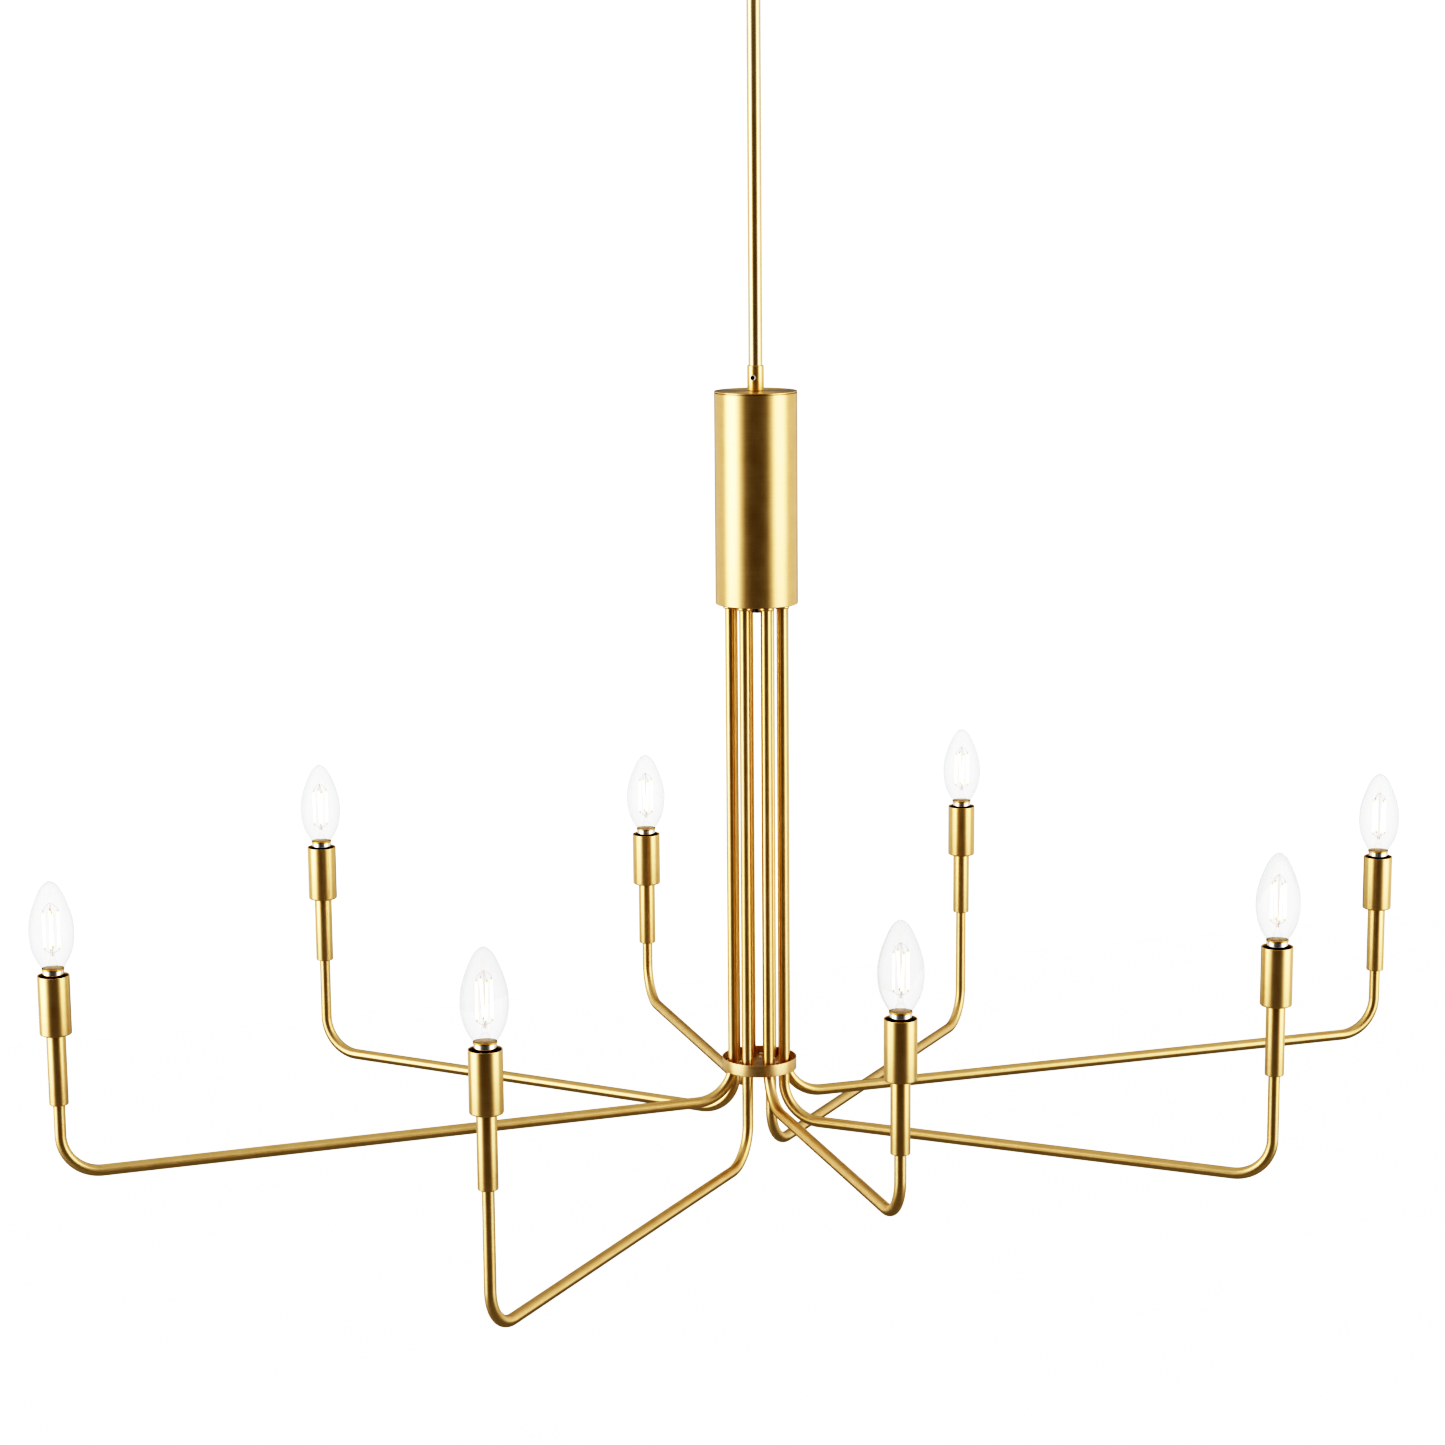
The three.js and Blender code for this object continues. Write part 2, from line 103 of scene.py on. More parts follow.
def middle(node):
    low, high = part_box(node)
    return (low + high) / 2


# ---- Mesh builders ----


def filleted(corners, closed, steps=4):
    """Rounds each [radius, z, fillet] corner of a profile."""
    points = []
    for index, corner in enumerate(corners):
        here = Vector(corner[:2])
        fillet = corner[2] if len(corner) > 2 else 0
        if fillet <= 0 or (not closed and index in (0, len(corners) - 1)):
            points.append(here)
            continue
        back = Vector(corners[index - 1][:2]) - here
        ahead = Vector(corners[(index + 1) % len(corners)][:2]) - here
        reach = fillet / math.tan(back.angle(ahead) / 2)
        reach = min(reach, 0.49 * back.length, 0.49 * ahead.length)
        start = here + back.normalized() * reach
        end = here + ahead.normalized() * reach
        for k in range(steps + 1):
            t = k / steps
            points.append(start * (1 - t) ** 2 + here * 2 * t * (1 - t) + end * t**2)
    return points


def dress(mesh, uvs, grain, sharp):
    """Gives a mesh its UV map and its grain for the brushing, and marks its sharp edges."""
    layer = mesh.uv_layers.new(name="UVMap")
    layer.data.foreach_set("uv", [c for uv in uvs for c in uv])
    attribute = mesh.attributes.new("grain", "FLOAT_VECTOR", "POINT")
    attribute.data.foreach_set("vector", [c * MM for g in grain for c in g])
    mesh.shade_smooth()
    mesh.set_sharp_from_angle(angle=math.radians(sharp))


def skin(name, rings, lengths, grain, closed, sharp=32):
    """Joins rings of points into a mesh. A ring of one point is a pole.

    lengths holds each ring's place along the piece, and one more for the way back to the first
    ring of a closed loop. grain holds one vector per point.
    """
    verts = [point for ring in rings for point in ring]
    starts = [0]
    for ring in rings:
        starts.append(starts[-1] + len(ring))
    sides = max(len(ring) for ring in rings)
    faces, uvs = [], []
    pairs = [(i, i + 1) for i in range(len(rings) - 1)]
    if closed:
        pairs.append((len(rings) - 1, 0))
    for a, b in pairs:
        if len(rings[a]) == len(rings[b]) == 1:
            continue
        place = {a: lengths[a] * MM, b: lengths[b or len(rings)] * MM}
        for j in range(sides):
            face = []
            for ring, step in ((a, 0), (a, 1), (b, 1), (b, 0)):
                pole = len(rings[ring]) == 1
                vertex = starts[ring] + (0 if pole else (j + step) % sides)
                if vertex not in face:
                    face.append(vertex)
                    uvs.append((place[ring], (j + (0.5 if pole else step)) / sides))
            faces.append(face)
    mesh = bpy.data.meshes.new(name)
    mesh.from_pydata([Vector(v) * MM for v in verts], [], faces)
    dress(mesh, uvs, grain, sharp)
    mesh.validate()
    return mesh


def along(points, closed):
    """The running length at each point of a profile."""
    lengths = [0.0]
    loop = list(points) + ([points[0]] if closed else [])
    for a, b in zip(loop, loop[1:]):
        lengths.append(lengths[-1] + (Vector(b) - Vector(a)).length)
    return lengths


def on_circle(radius, angle):
    return (radius * math.cos(angle), radius * math.sin(angle))


def circle(radius, sides, x=0.0, y=0.0):
    turn = 2 * math.pi / sides
    return [
        (x + radius * math.cos(turn * i), y + radius * math.sin(turn * i)) for i in range(sides)
    ]


def revolve(name, corners, closed=True, sides=64, steps=4, shape=None, sharp=32):
    """Turns a profile of [radius, z, fillet] corners about Z.

    The profile runs counterclockwise, up its outside. shape(radius, z, angle) may move a point
    in or out, for threads and knurls.
    """
    outline = filleted(corners, closed, steps)
    lengths = along(outline, closed)
    rings, grain = [], []
    for (radius, z), s in zip(outline, lengths):
        if radius < 1e-6:
            rings.append([(0, 0, z)])
            grain.append((s, 0, 0))
            continue
        ring = []
        for j in range(sides):
            angle = 2 * math.pi * j / sides
            r = shape(radius, z, angle) if shape else radius
            x, y = on_circle(r, angle)
            ring.append((x, y, z))
            grain.append((s, x, y))
        rings.append(ring)
    return skin(name, rings, lengths, grain, closed, sharp)


def sweep(name, stations, outer, inner, sides=40):
    """A tube along stations of (x, z, heading) in the XZ plane, heading in radians from +X."""
    centres = [Vector((x, 0, z)) for x, z, _ in stations]
    lengths = along(centres, False)
    total, wall = lengths[-1], outer - inner
    walk = [(index, outer, s) for index, s in enumerate(lengths)]
    walk += [(index, inner, 2 * total - s + wall) for index, _, s in reversed(walk)]
    rings, grain = [], []
    side = Vector((0, -1, 0))
    for index, radius, s in walk:
        heading = stations[index][2]
        up = side.cross(Vector((math.cos(heading), 0, math.sin(heading))))
        ring = []
        for x, y in circle(radius, sides):
            ring.append(centres[index] + up * x + side * y)
            grain.append((s, x, y))
        rings.append(ring)
    return skin(name, rings, [s for _, _, s in walk] + [2 * (total + wall)], grain, True, 50)


def pipe(inner, outer, bottom, top, fillets):
    """A pipe's profile for revolve, with its fillets from the inner bottom corner round."""
    corners = ((inner, bottom), (outer, bottom), (outer, top), (inner, top))
    return [[*corner, fillet] for corner, fillet in zip(corners, fillets)]


def thread_shape(bottom, top, pitch, depth, core=0.0):
    """A shape for revolve: a helical thread outside the core, fading out at its ends."""

    def shape(radius, z, angle):
        fade = min(1, (z - bottom) / pitch, (top - z) / pitch)
        if radius <= core or fade <= 0:
            return radius
        phase = z / pitch - angle / (2 * math.pi)
        return radius - depth * fade * (0.5 - 0.5 * math.cos(2 * math.pi * phase))

    return shape


def steps_between(radius, bottom, top, step):
    """Profile points up a straight wall, for a shape that needs them."""
    count = max(2, round(abs(top - bottom) / step))
    return [[radius, bottom + (top - bottom) * i / count] for i in range(count + 1)]


def inset(outline, distance):
    """The outline moved to its left by a distance."""
    moved = []
    for i, point in enumerate(outline):
        here = Vector(point)
        before = (here - Vector(outline[i - 1])).normalized()
        after = (Vector(outline[(i + 1) % len(outline)]) - here).normalized()
        mean = (before + after).normalized()
        moved.append(here + Vector((-mean.y, mean.x)) * (distance / max(0.5, mean.dot(after))))
    return moved


def slab(name, outlines, bottom, top, bevel=0.3, turn=None, steps=3):
    """A plate of the first outline, with holes for the others and softened edges.

    Outlines run counterclockwise. The brushing runs along x. turn is a matrix that stands the
    plate up.
    """
    levels = []
    for k in range(steps + 1):
        angle = math.pi / 2 * k / steps
        levels.append((bevel * (1 - math.sin(angle)), bottom + bevel * (1 - math.cos(angle))))
    levels += [(shift, top + bottom - z) for shift, z in reversed(levels)]
    verts, faces = [], []
    caps = {0: [], len(levels) - 1: []}
    for index, outline in enumerate(outlines):
        way = -1 if index else 1
        start, count = len(verts), len(outline)
        for level, (shift, z) in enumerate(levels):
            loop = [Vector((x, y, z)) for x, y in inset(outline, way * shift)]
            if level in caps:
                caps[level].append((loop, len(verts)))
            verts += loop
            if level == 0:
                continue
            base = start + (level - 1) * count
            for j in range(count):
                k = (j + 1) % count
                face = (base + j, base + k, base + count + k, base + count + j)
                faces.append(face if way > 0 else face[::-1])
    for level, loops in caps.items():
        numbers = [first + i for loop, first in loops for i in range(len(loop))]
        for triangle in tessellate_polygon([loop for loop, _ in loops]):
            a, b, c = (numbers[i] for i in triangle)
            upward = (verts[b] - verts[a]).cross(verts[c] - verts[a]).z > 0
            faces.append((a, b, c) if upward == (level > 0) else (a, c, b))
    mesh = bpy.data.meshes.new(name)
    mesh.from_pydata(verts, [], faces)
    corners = [verts[i] for face in faces for i in face]
    uvs = [((v.y + 0.5 * v.z) * MM, (v.x + 0.2 * v.z) * MM) for v in corners]
    dress(mesh, uvs, [(v.y, v.x, v.z) for v in verts], 33)
    if turn is not None:
        mesh.transform(turn)
    mesh.transform(Matrix.Scale(MM, 4))
    return mesh


def placed(mesh, matrix):
    """A copy of the mesh, moved by a matrix whose shift is in millimetres."""
    copy = mesh.copy()
    place = Matrix(matrix)
    place.translation = place.translation * MM
    copy.transform(place)
    return copy


def merged(name, meshes):
    """One mesh made of several."""
    work = bmesh.new()
    for mesh in meshes:
        work.from_mesh(mesh)
    result = bpy.data.meshes.new(name)
    work.to_mesh(result)
    work.free()
    return result


def piece(name, mesh, material, body, slot, location=(0, 0, 0), turn=0.0, replaces=()):
    """Puts a mesh in the scene as a piece of the object."""
    obj = bpy.data.objects.new(name, mesh)
    if not mesh.materials:
        mesh.materials.append(material)
    bpy.context.scene.collection.objects.link(obj)
    obj.location = location
    obj.rotation_euler.z = turn
    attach(obj, body)
    if replaces:
        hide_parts(*replaces)


def refine(node, mesh, material, slot="brushed_brass", body="fixture", **place):
    """Stands a finer mesh in for a CAD node."""
    piece(node + "_fine", mesh, material, body, slot, replaces=[node], **place)


def turned(node, profile, material, slot="brushed_brass", body="fixture", **shape):
    """Stands a lathe-turned mesh in for a CAD node."""
    refine(node, revolve(node + "_fine", profile, **shape), material, slot, body)


# ---- Materials ----


class Nodes:
    """Short calls for building the node tree of a material or a world."""

    def __init__(self, owner, output="OutputMaterial"):
        owner.use_nodes = True
        self.owner = owner
        self.tree = owner.node_tree
        self.tree.nodes.clear()
        self.output = self.add(output)

    def put(self, value, socket):
        """Links a value to a socket, or sets the socket to it."""
        if hasattr(value, "is_output"):
            self.tree.links.new(value, socket)
        elif socket.type == "RGBA":
            socket.default_value = (*value, 1)
        else:
            socket.default_value = value

    def add(self, kind, inputs=None, **settings):
        """Adds a node with its settings, and links or sets its inputs by name."""
        node = self.tree.nodes.new("ShaderNode" + kind)
        for key, value in settings.items():
            setattr(node, key, value)
        for name, value in (inputs or {}).items():
            self.put(value, node.inputs[name])
        return node

    def surface(self, kind, inputs):
        """Adds a shader and shows it on the surface."""
        shader = self.add(kind, inputs).outputs[0]
        self.put(shader, self.output.inputs["Surface"])
        return shader

    def noise(self, vector, scale, detail=2.0, roughness=0.5):
        """Noise over a coordinate that is first stretched by a scale per axis."""
        stretched = self.add("Mapping", {"Vector": vector, "Scale": scale}).outputs["Vector"]
        inputs = {"Vector": stretched, "Scale": 1.0, "Detail": detail, "Roughness": roughness}
        return self.add("TexNoise", inputs).outputs["Fac"]

    def fit(self, value, low, high, from_low=0.3, from_high=0.7):
        """Maps a value's range to another range, clamped."""
        ranges = {"From Min": from_low, "From Max": from_high, "To Min": low, "To Max": high}
        return self.add("MapRange", {"Value": value, **ranges}).outputs["Result"]

    def mix(self, factor, first, second):
        """Mixes two colours."""
        node = self.add("Mix", {"Factor": factor}, data_type="RGBA")
        colours = [socket for socket in node.inputs if socket.type == "RGBA"]
        self.put(first, colours[0])
        self.put(second, colours[1])
        return next(socket for socket in node.outputs if socket.type == "RGBA")

    def math(self, operation, first, second):
        node = self.add("Math", operation=operation)
        self.put(first, node.inputs[0])
        self.put(second, node.inputs[1])
        return node.outputs[0]

    def average(self, first, second):
        return self.math("MULTIPLY", self.math("ADD", first, second), 0.5)

    def bump(self, height, strength, distance):
        inputs = {"Height": height, "Strength": strength, "Distance": distance}
        return self.add("Bump", inputs).outputs["Normal"]


def brushed(name, dark, light, rough, streak=0.0007, anisotropy=0.83, depth=0.000004):
    """Brushed metal whose strokes run round the piece, with mottled lacquer over them."""
    n = Nodes(bpy.data.materials.new(name))
    grain = n.add("Attribute", attribute_name="grain").outputs["Vector"]
    strokes = n.noise(grain, (1 / streak, 40, 40), 4, 0.65)
    hairs = n.noise(grain, (4 / streak, 160, 160), 2, 0.6)
    mottle = n.noise(grain, (45, 60, 60), 3, 0.55)
    fine = n.average(strokes, hairs)
    tangent = n.add("Tangent", direction_type="UV_MAP", uv_map="UVMap")
    n.surface("BsdfPrincipled", {
        "Base Color": n.mix(n.fit(n.average(fine, mottle), 0, 1, 0.35, 0.65), dark, light),
        "Metallic": 1.0,
        "Roughness": n.fit(mottle, *rough, 0.35, 0.65),
        "Normal": n.bump(fine, 0.35, depth),
        "Anisotropic": anisotropy,
        "Tangent": tangent.outputs["Tangent"],
    })
    return n.owner


def satin_metal(name, dark, light, rough, scale=900):
    """Rolled, plated or zinc-coated metal with an even speckle and cloudy patches."""
    n = Nodes(bpy.data.materials.new(name))
    place = n.add("TexCoord").outputs["Object"]
    clouds = n.noise(place, (120, 120, 120), 3, 0.6)
    speckle = n.noise(place, (scale, scale, scale), 3, 0.6)
    shade = n.average(clouds, speckle)
    n.surface("BsdfPrincipled", {
        "Base Color": n.mix(n.fit(shade, 0, 1, 0.4, 0.6), dark, light),
        "Metallic": 1.0,
        "Roughness": n.fit(shade, *rough, 0.4, 0.6),
        "Normal": n.bump(speckle, 0.3, 0.00002),
    })
    return n.owner


def moulded(name, dark, light, rough, specular=0.5):
    """Moulded plastic or cement with a fine matte texture."""
    n = Nodes(bpy.data.materials.new(name))
    place = n.add("TexCoord").outputs["Object"]
    clouds = n.noise(place, (90, 90, 90), 3, 0.6)
    texture = n.noise(place, (700, 700, 700), 3, 0.6)
    n.surface("BsdfPrincipled", {
        "Base Color": n.mix(n.fit(n.average(clouds, texture), 0, 1, 0.4, 0.6), dark, light),
        "Roughness": n.fit(texture, *rough, 0.35, 0.65),
        "Normal": n.bump(texture, 0.4, 0.00004),
        "Specular IOR Level": specular,
    })
    return n.owner


def clear_glass(name, tint_clear, painted_edge_shade, rough):
    """Thin blown glass: it hardly bends light, is greyer edge-on by painted shade, and has faint
    draw lines.
    """
    n = Nodes(bpy.data.materials.new(name))
    waves = n.noise(n.add("TexCoord").outputs["Object"], (60, 60, 25), 2, 0.5)
    facing = n.add("LayerWeight", {"Blend": 0.35}).outputs["Facing"]
    glass = n.surface("BsdfPrincipled", {
        # Painted shade: the tint darkens toward grazing, standing in for the grey edges that
        # reflection and refraction give real glass.
        "Base Color": n.mix(n.fit(facing, 0, 1, 0.1, 0.9), tint_clear, painted_edge_shade),
        "Roughness": n.fit(waves, *rough),
        "Normal": n.bump(waves, 0.05, 0.0002),
        "Transmission Weight": 1.0,
        "IOR": 1.01,
        "Coat Weight": 0.5,
        "Coat Roughness": 0.02,
    })
    # Shadow rays pass straight through, so that the glass shades nothing.
    choose = n.add("MixShader", {"Fac": n.add("LightPath").outputs["Is Shadow Ray"]})
    n.put(glass, choose.inputs[1])
    n.put(n.add("BsdfTransparent").outputs["BSDF"], choose.inputs[2])
    n.put(choose.outputs["Shader"], n.output.inputs["Surface"])
    return n.owner


def filament(name, low, high, cool=0.003):
    """Phosphor-coated filament: white-hot along its length and yellow at its cooler ends."""
    n = Nodes(bpy.data.materials.new(name))
    place = n.add("TexCoord").outputs["Object"]
    beads = n.noise(place, (1500, 1500, 1500), 2, 0.6)
    height = n.add("SeparateXYZ", {"Vector": place}).outputs["Z"]
    rise = n.fit(height, 1, 0, low, low + cool)
    fall = n.fit(height, 0, 1, high - cool, high)
    ends = n.math("MAXIMUM", rise, fall)
    n.surface("BsdfPrincipled", {
        "Base Color": n.mix(beads, (0.93, 0.66, 0.16), (1.0, 0.80, 0.30)),
        "Roughness": n.fit(beads, 0.5, 0.7),
        "Emission Color": n.mix(ends, (1.0, 0.93, 0.78), (1.0, 0.72, 0.22)),
        "Emission Strength": 2.2,
    })
    return n.owner


BRASS = (0.81, 0.595, 0.315), (0.90, 0.685, 0.395)
ROD_BRASS = (0.85, 0.65, 0.38), (0.91, 0.71, 0.44)
RING_BRASS = (0.76, 0.55, 0.30), (0.93, 0.74, 0.48)
PLATE_BRASS = (0.62, 0.50, 0.36), (0.80, 0.68, 0.52)

tube_brass = brushed("brass_tube", *BRASS, (0.30, 0.33), 0.0008, depth=0.0000025)
cup_brass = brushed("brass_cup", *BRASS, (0.30, 0.34), 0.0006)
housing_brass = brushed("brass_housing", *BRASS, (0.31, 0.35), 0.0009, 0.80)
rod_brass = brushed("brass_rod", *ROD_BRASS, (0.25, 0.27), 0.0008, depth=0.0000003)
ring_brass = brushed("brass_band", *RING_BRASS, (0.30, 0.42), 0.0011, 0.6, 0.00002)
plate_brass = brushed("brass_plate", *PLATE_BRASS, (0.34, 0.46), 0.0009, 0.3)
fitting_brass = brushed("brass_fitting", *BRASS, (0.27, 0.33), 0.0005, 0.6)
shell_brass = satin_metal(
    "brass_socket_shell", (0.66, 0.42, 0.13), (0.80, 0.56, 0.22), (0.25, 0.42)
)
nickel = satin_metal("nickel_lamp_base", (0.84, 0.81, 0.77), (0.93, 0.91, 0.88), (0.06, 0.12))
bright_steel = satin_metal("steel_bright", (0.62, 0.60, 0.58), (0.80, 0.77, 0.74), (0.22, 0.36))
screw_steel = satin_metal(
    "steel_screw_heads", (0.84, 0.75, 0.69), (0.96, 0.89, 0.83), (0.24, 0.36)
)
# Painted shade: a near-black metal used only for the floor of the grub screw's shallow hex socket,
# standing for the shade deep in a real socket.
socket_shade_paint = satin_metal(
    "socket_painted_shade", (0.035, 0.030, 0.028), (0.07, 0.06, 0.055), (0.4, 0.55)
)
zinc = satin_metal(
    "steel_zinc_plated", (0.40, 0.41, 0.43), (0.62, 0.63, 0.64), (0.36, 0.55), 500
)
lead_wire = satin_metal(
    "wire_copper_clad", (0.42, 0.29, 0.22), (0.60, 0.44, 0.35), (0.3, 0.45), 1500
)
solder = satin_metal("solder", (0.55, 0.55, 0.56), (0.74, 0.74, 0.75), (0.3, 0.5), 1500)
phenolic = moulded(
    "phenolic_black", (0.018, 0.012, 0.009), (0.040, 0.028, 0.021), (0.38, 0.55)
)
pale_nylon = moulded("nylon_pale", (0.66, 0.63, 0.56), (0.78, 0.75, 0.69), (0.45, 0.6))
cement = moulded("base_cement_tan", (0.40, 0.29, 0.18), (0.54, 0.41, 0.27), (0.4, 0.55), 0.2)
bulb_glass = clear_glass("glass_lamp", (0.90, 0.90, 0.903), (0.80, 0.803, 0.81), (0.0, 0.03))
stem_glass = clear_glass("glass_stem", (0.98, 0.98, 0.98), (0.88, 0.88, 0.88), (0.02, 0.08))

# ---- Ceiling plate, canopy and swivel ----

BRACKET_THICKNESS, BRACKET_CORNER, BOSS_RADIUS = 3.0, 4.0, 9.0
SLOT_SPACING, SLOT_WIDTH, SLOT_LENGTH = 84.0, 4.6, 14.0
WIRE_HOLE_X, WIRE_HOLE_RADIUS = 20.0, 5.0
NIPPLE_BORE, TIE_BORE, BORE_LIMIT = 3.4, 3.5, 4.0
ROD_THREAD_PITCH, ROD_THREAD_DEPTH, ROD_THREAD_STEP = 1.0, 0.45, 0.16


def rounded_box(length, width, corner, steps=6):
    points = []
    for quarter, (sx, sy) in enumerate([(1, 1), (-1, 1), (-1, -1), (1, -1)]):
        cx, cy = sx * (length / 2 - corner), sy * (width / 2 - corner)
        for k in range(steps + 1):
            angle = math.pi / 2 * (quarter + k / steps)
            points.append((cx + corner * math.cos(angle), cy + corner * math.sin(angle)))
    return points


def slot_outline(x):
    return [(x + px, py) for px, py in rounded_box(SLOT_LENGTH, SLOT_WIDTH, SLOT_WIDTH / 2 - 0.01)]


bracket = size("ceiling_bracket")
bracket_bottom = span("ceiling_bracket")[0]
bracket_bar = slab(
    "ceiling_bracket_bar",
    [
        rounded_box(bracket.x, bracket.y, BRACKET_CORNER),
        slot_outline(-SLOT_SPACING / 2),
        slot_outline(SLOT_SPACING / 2),
        circle(WIRE_HOLE_RADIUS, 32, WIRE_HOLE_X),
    ],
    -BRACKET_THICKNESS, 0, 0.35,
)
nipple_bottom, nipple_top = span("ceiling_nipple")
nipple_radius = half_width("ceiling_nipple")
nipple_hole = nipple_radius + PLAY
boss_top = -BRACKET_THICKNESS + 0.2
boss_profile = pipe(nipple_hole, BOSS_RADIUS, bracket_bottom, boss_top, (0.3, 0.8, 0, 0))
bracket_boss = revolve("ceiling_bracket_boss", boss_profile, sides=48)
bracket_mesh = merged("ceiling_bracket_fine", [bracket_bar, bracket_boss])
refine("ceiling_bracket", bracket_mesh, zinc, "zinc_steel", "ceiling_mount")


def rod_thread(bottom, top):
    return thread_shape(bottom, top, ROD_THREAD_PITCH, ROD_THREAD_DEPTH, BORE_LIMIT)


nipple_profile = [
    [NIPPLE_BORE, nipple_bottom],
    *steps_between(nipple_radius, nipple_bottom, nipple_top, ROD_THREAD_STEP),
    [NIPPLE_BORE, nipple_top],
]
turned(
    "ceiling_nipple", nipple_profile, zinc, "zinc_steel", "ceiling_mount", sides=48, sharp=60,
    shape=rod_thread(nipple_bottom, nipple_top),
)

YOKE_RADIUS, YOKE_NECK, YOKE_HEAD = 10.4, 4.0, 6.4
CAVITY_RADIUS, CAVITY_TOP = 7.0, -21.7
body_bottom, body_top = span("swivel_body")
body_radius = half_width("swivel_body")
cavity_floor = body_bottom + 6
body_profile = [
    [YOKE_NECK + PLAY, body_bottom, 0.3], [body_radius, body_bottom, 1.0],
    [body_radius, cavity_floor, 0.25], [body_radius - 0.6, cavity_floor + 0.6, 0.25],
    [body_radius - 0.6, cavity_floor + 1.8, 0.25], [body_radius, cavity_floor + 2.4, 0.25],
    [body_radius, body_top, 1.0], [nipple_hole, body_top, 0.3],
    [nipple_hole, CAVITY_TOP], [CAVITY_RADIUS, CAVITY_TOP, 0.3],
    [CAVITY_RADIUS, cavity_floor, 0.3], [YOKE_NECK + PLAY, cavity_floor],
]
turned("swivel_body", body_profile, fitting_brass, body="ceiling_mount")

canopy_bottom, canopy_top = span("ceiling_canopy")
canopy_radius = half_width("ceiling_canopy")
CANOPY_WALL, CANOPY_HOLE, CANOPY_CORNER = 1.2, 12.5, 4.0
canopy_profile = [
    [CANOPY_HOLE, canopy_bottom, 0.35],
    [canopy_radius, canopy_bottom, CANOPY_CORNER],
    [canopy_radius, canopy_top, 0.4],
    [canopy_radius - CANOPY_WALL, canopy_top, 0.4],
    [canopy_radius - CANOPY_WALL, canopy_bottom + CANOPY_WALL, CANOPY_CORNER - CANOPY_WALL],
    [CANOPY_HOLE, canopy_bottom + CANOPY_WALL, 0.35],
]
turned("ceiling_canopy", canopy_profile, housing_brass, body="canopy", sides=128, steps=8)

collar_bottom, collar_top = span("canopy_collar")
collar_radius = half_width("canopy_collar")
collar_bore = body_radius + PLAY
KNURL_TEETH, KNURL_DEPTH, KNURL_MARGIN = 72, 0.28, 1.5


def knurled(radius, z, angle):
    """Fine straight knurling round the collar's grip band."""
    inside = min(z - collar_bottom, collar_top - z) - KNURL_MARGIN
    if radius < collar_radius - 0.1 or inside < -0.05:
        return radius
    return radius - KNURL_DEPTH * (0.5 - 0.5 * math.cos(KNURL_TEETH * angle))


collar_profile = [
    [collar_bore, collar_bottom, 0.3],
    [collar_radius, collar_bottom, 1.1],
    [collar_radius, collar_bottom + KNURL_MARGIN],
    [collar_radius, collar_bottom + KNURL_MARGIN + 0.5],
    [collar_radius, collar_top - KNURL_MARGIN - 0.5],
    [collar_radius, collar_top - KNURL_MARGIN],
    [collar_radius, collar_top, 0.5], [collar_bore, collar_top, 0.3],
]
turned(
    "canopy_collar", collar_profile, fitting_brass, body="canopy", sides=432, shape=knurled
)

pivot = middle("swivel_pin")
pivot_z = pivot.z / MM
yoke_top = span("swivel_yoke")[1]
YOKE_DISC_BOTTOM, LEG_OUTER, STRAP_WIDTH, TONGUE_HALF = -45.0, 7.6, 12.0, 3.7
stand_up = Matrix.Rotation(math.pi / 2, 4, "X")


def rounded_end(width, flat, centre, steps=16):
    """A strap outline in x and z: square at its flat end, half round about its centre."""
    half = width / 2
    way = 1 if centre > flat else -1
    points = [(-way * half, flat), (way * half, flat)]
    for k in range(steps + 1):
        angle = math.pi * k / steps
        points.append((way * half * math.cos(angle), centre + way * half * math.sin(angle)))
    return points


leg_outline = rounded_end(STRAP_WIDTH, YOKE_DISC_BOTTOM + 0.4, pivot_z)
legs = []
for label, sign in (("a", 1), ("b", -1)):
    near, far = sorted((sign * (TONGUE_HALF + PLAY), sign * LEG_OUTER))
    # The slab is drawn flat and stood up, which turns its +Z into -Y.
    legs.append(slab("yoke_leg_" + label, [leg_outline], -far, -near, 0.4, stand_up))
yoke_disc_top, head_bottom = body_bottom - PLAY, cavity_floor + PLAY
yoke_profile = [
    [0, YOKE_DISC_BOTTOM],
    [YOKE_RADIUS, YOKE_DISC_BOTTOM, 1.2],
    [YOKE_RADIUS, yoke_disc_top, 0.4], [YOKE_NECK, yoke_disc_top], [YOKE_NECK, head_bottom],
    [YOKE_HEAD, head_bottom, 0.4], [YOKE_HEAD, yoke_top, 0.6], [0, yoke_top],
]
yoke_core = revolve("yoke_core", yoke_profile, closed=False)
refine("swivel_yoke", merged("swivel_yoke_fine", [yoke_core, *legs]), fitting_brass, body="swivel")

PIN_RADIUS, PIN_HEAD = 2.2, 3.3
pin_half = size("swivel_pin").y / 2
pin_shoulder = LEG_OUTER + 0.05
pin_profile = [
    [0, -pin_half], [PIN_HEAD, -pin_half, 0.8], [PIN_HEAD, -pin_shoulder],
    [PIN_RADIUS, -pin_shoulder], [PIN_RADIUS, pin_shoulder], [PIN_HEAD, pin_shoulder],
    [PIN_HEAD, pin_half, 0.8], [0, pin_half],
]
pin_mesh = revolve("swivel_pin_fine", pin_profile, closed=False, sides=40)
pin_mesh.transform(stand_up)
refine("swivel_pin", pin_mesh, bright_steel, "steel", "swivel", location=pivot)

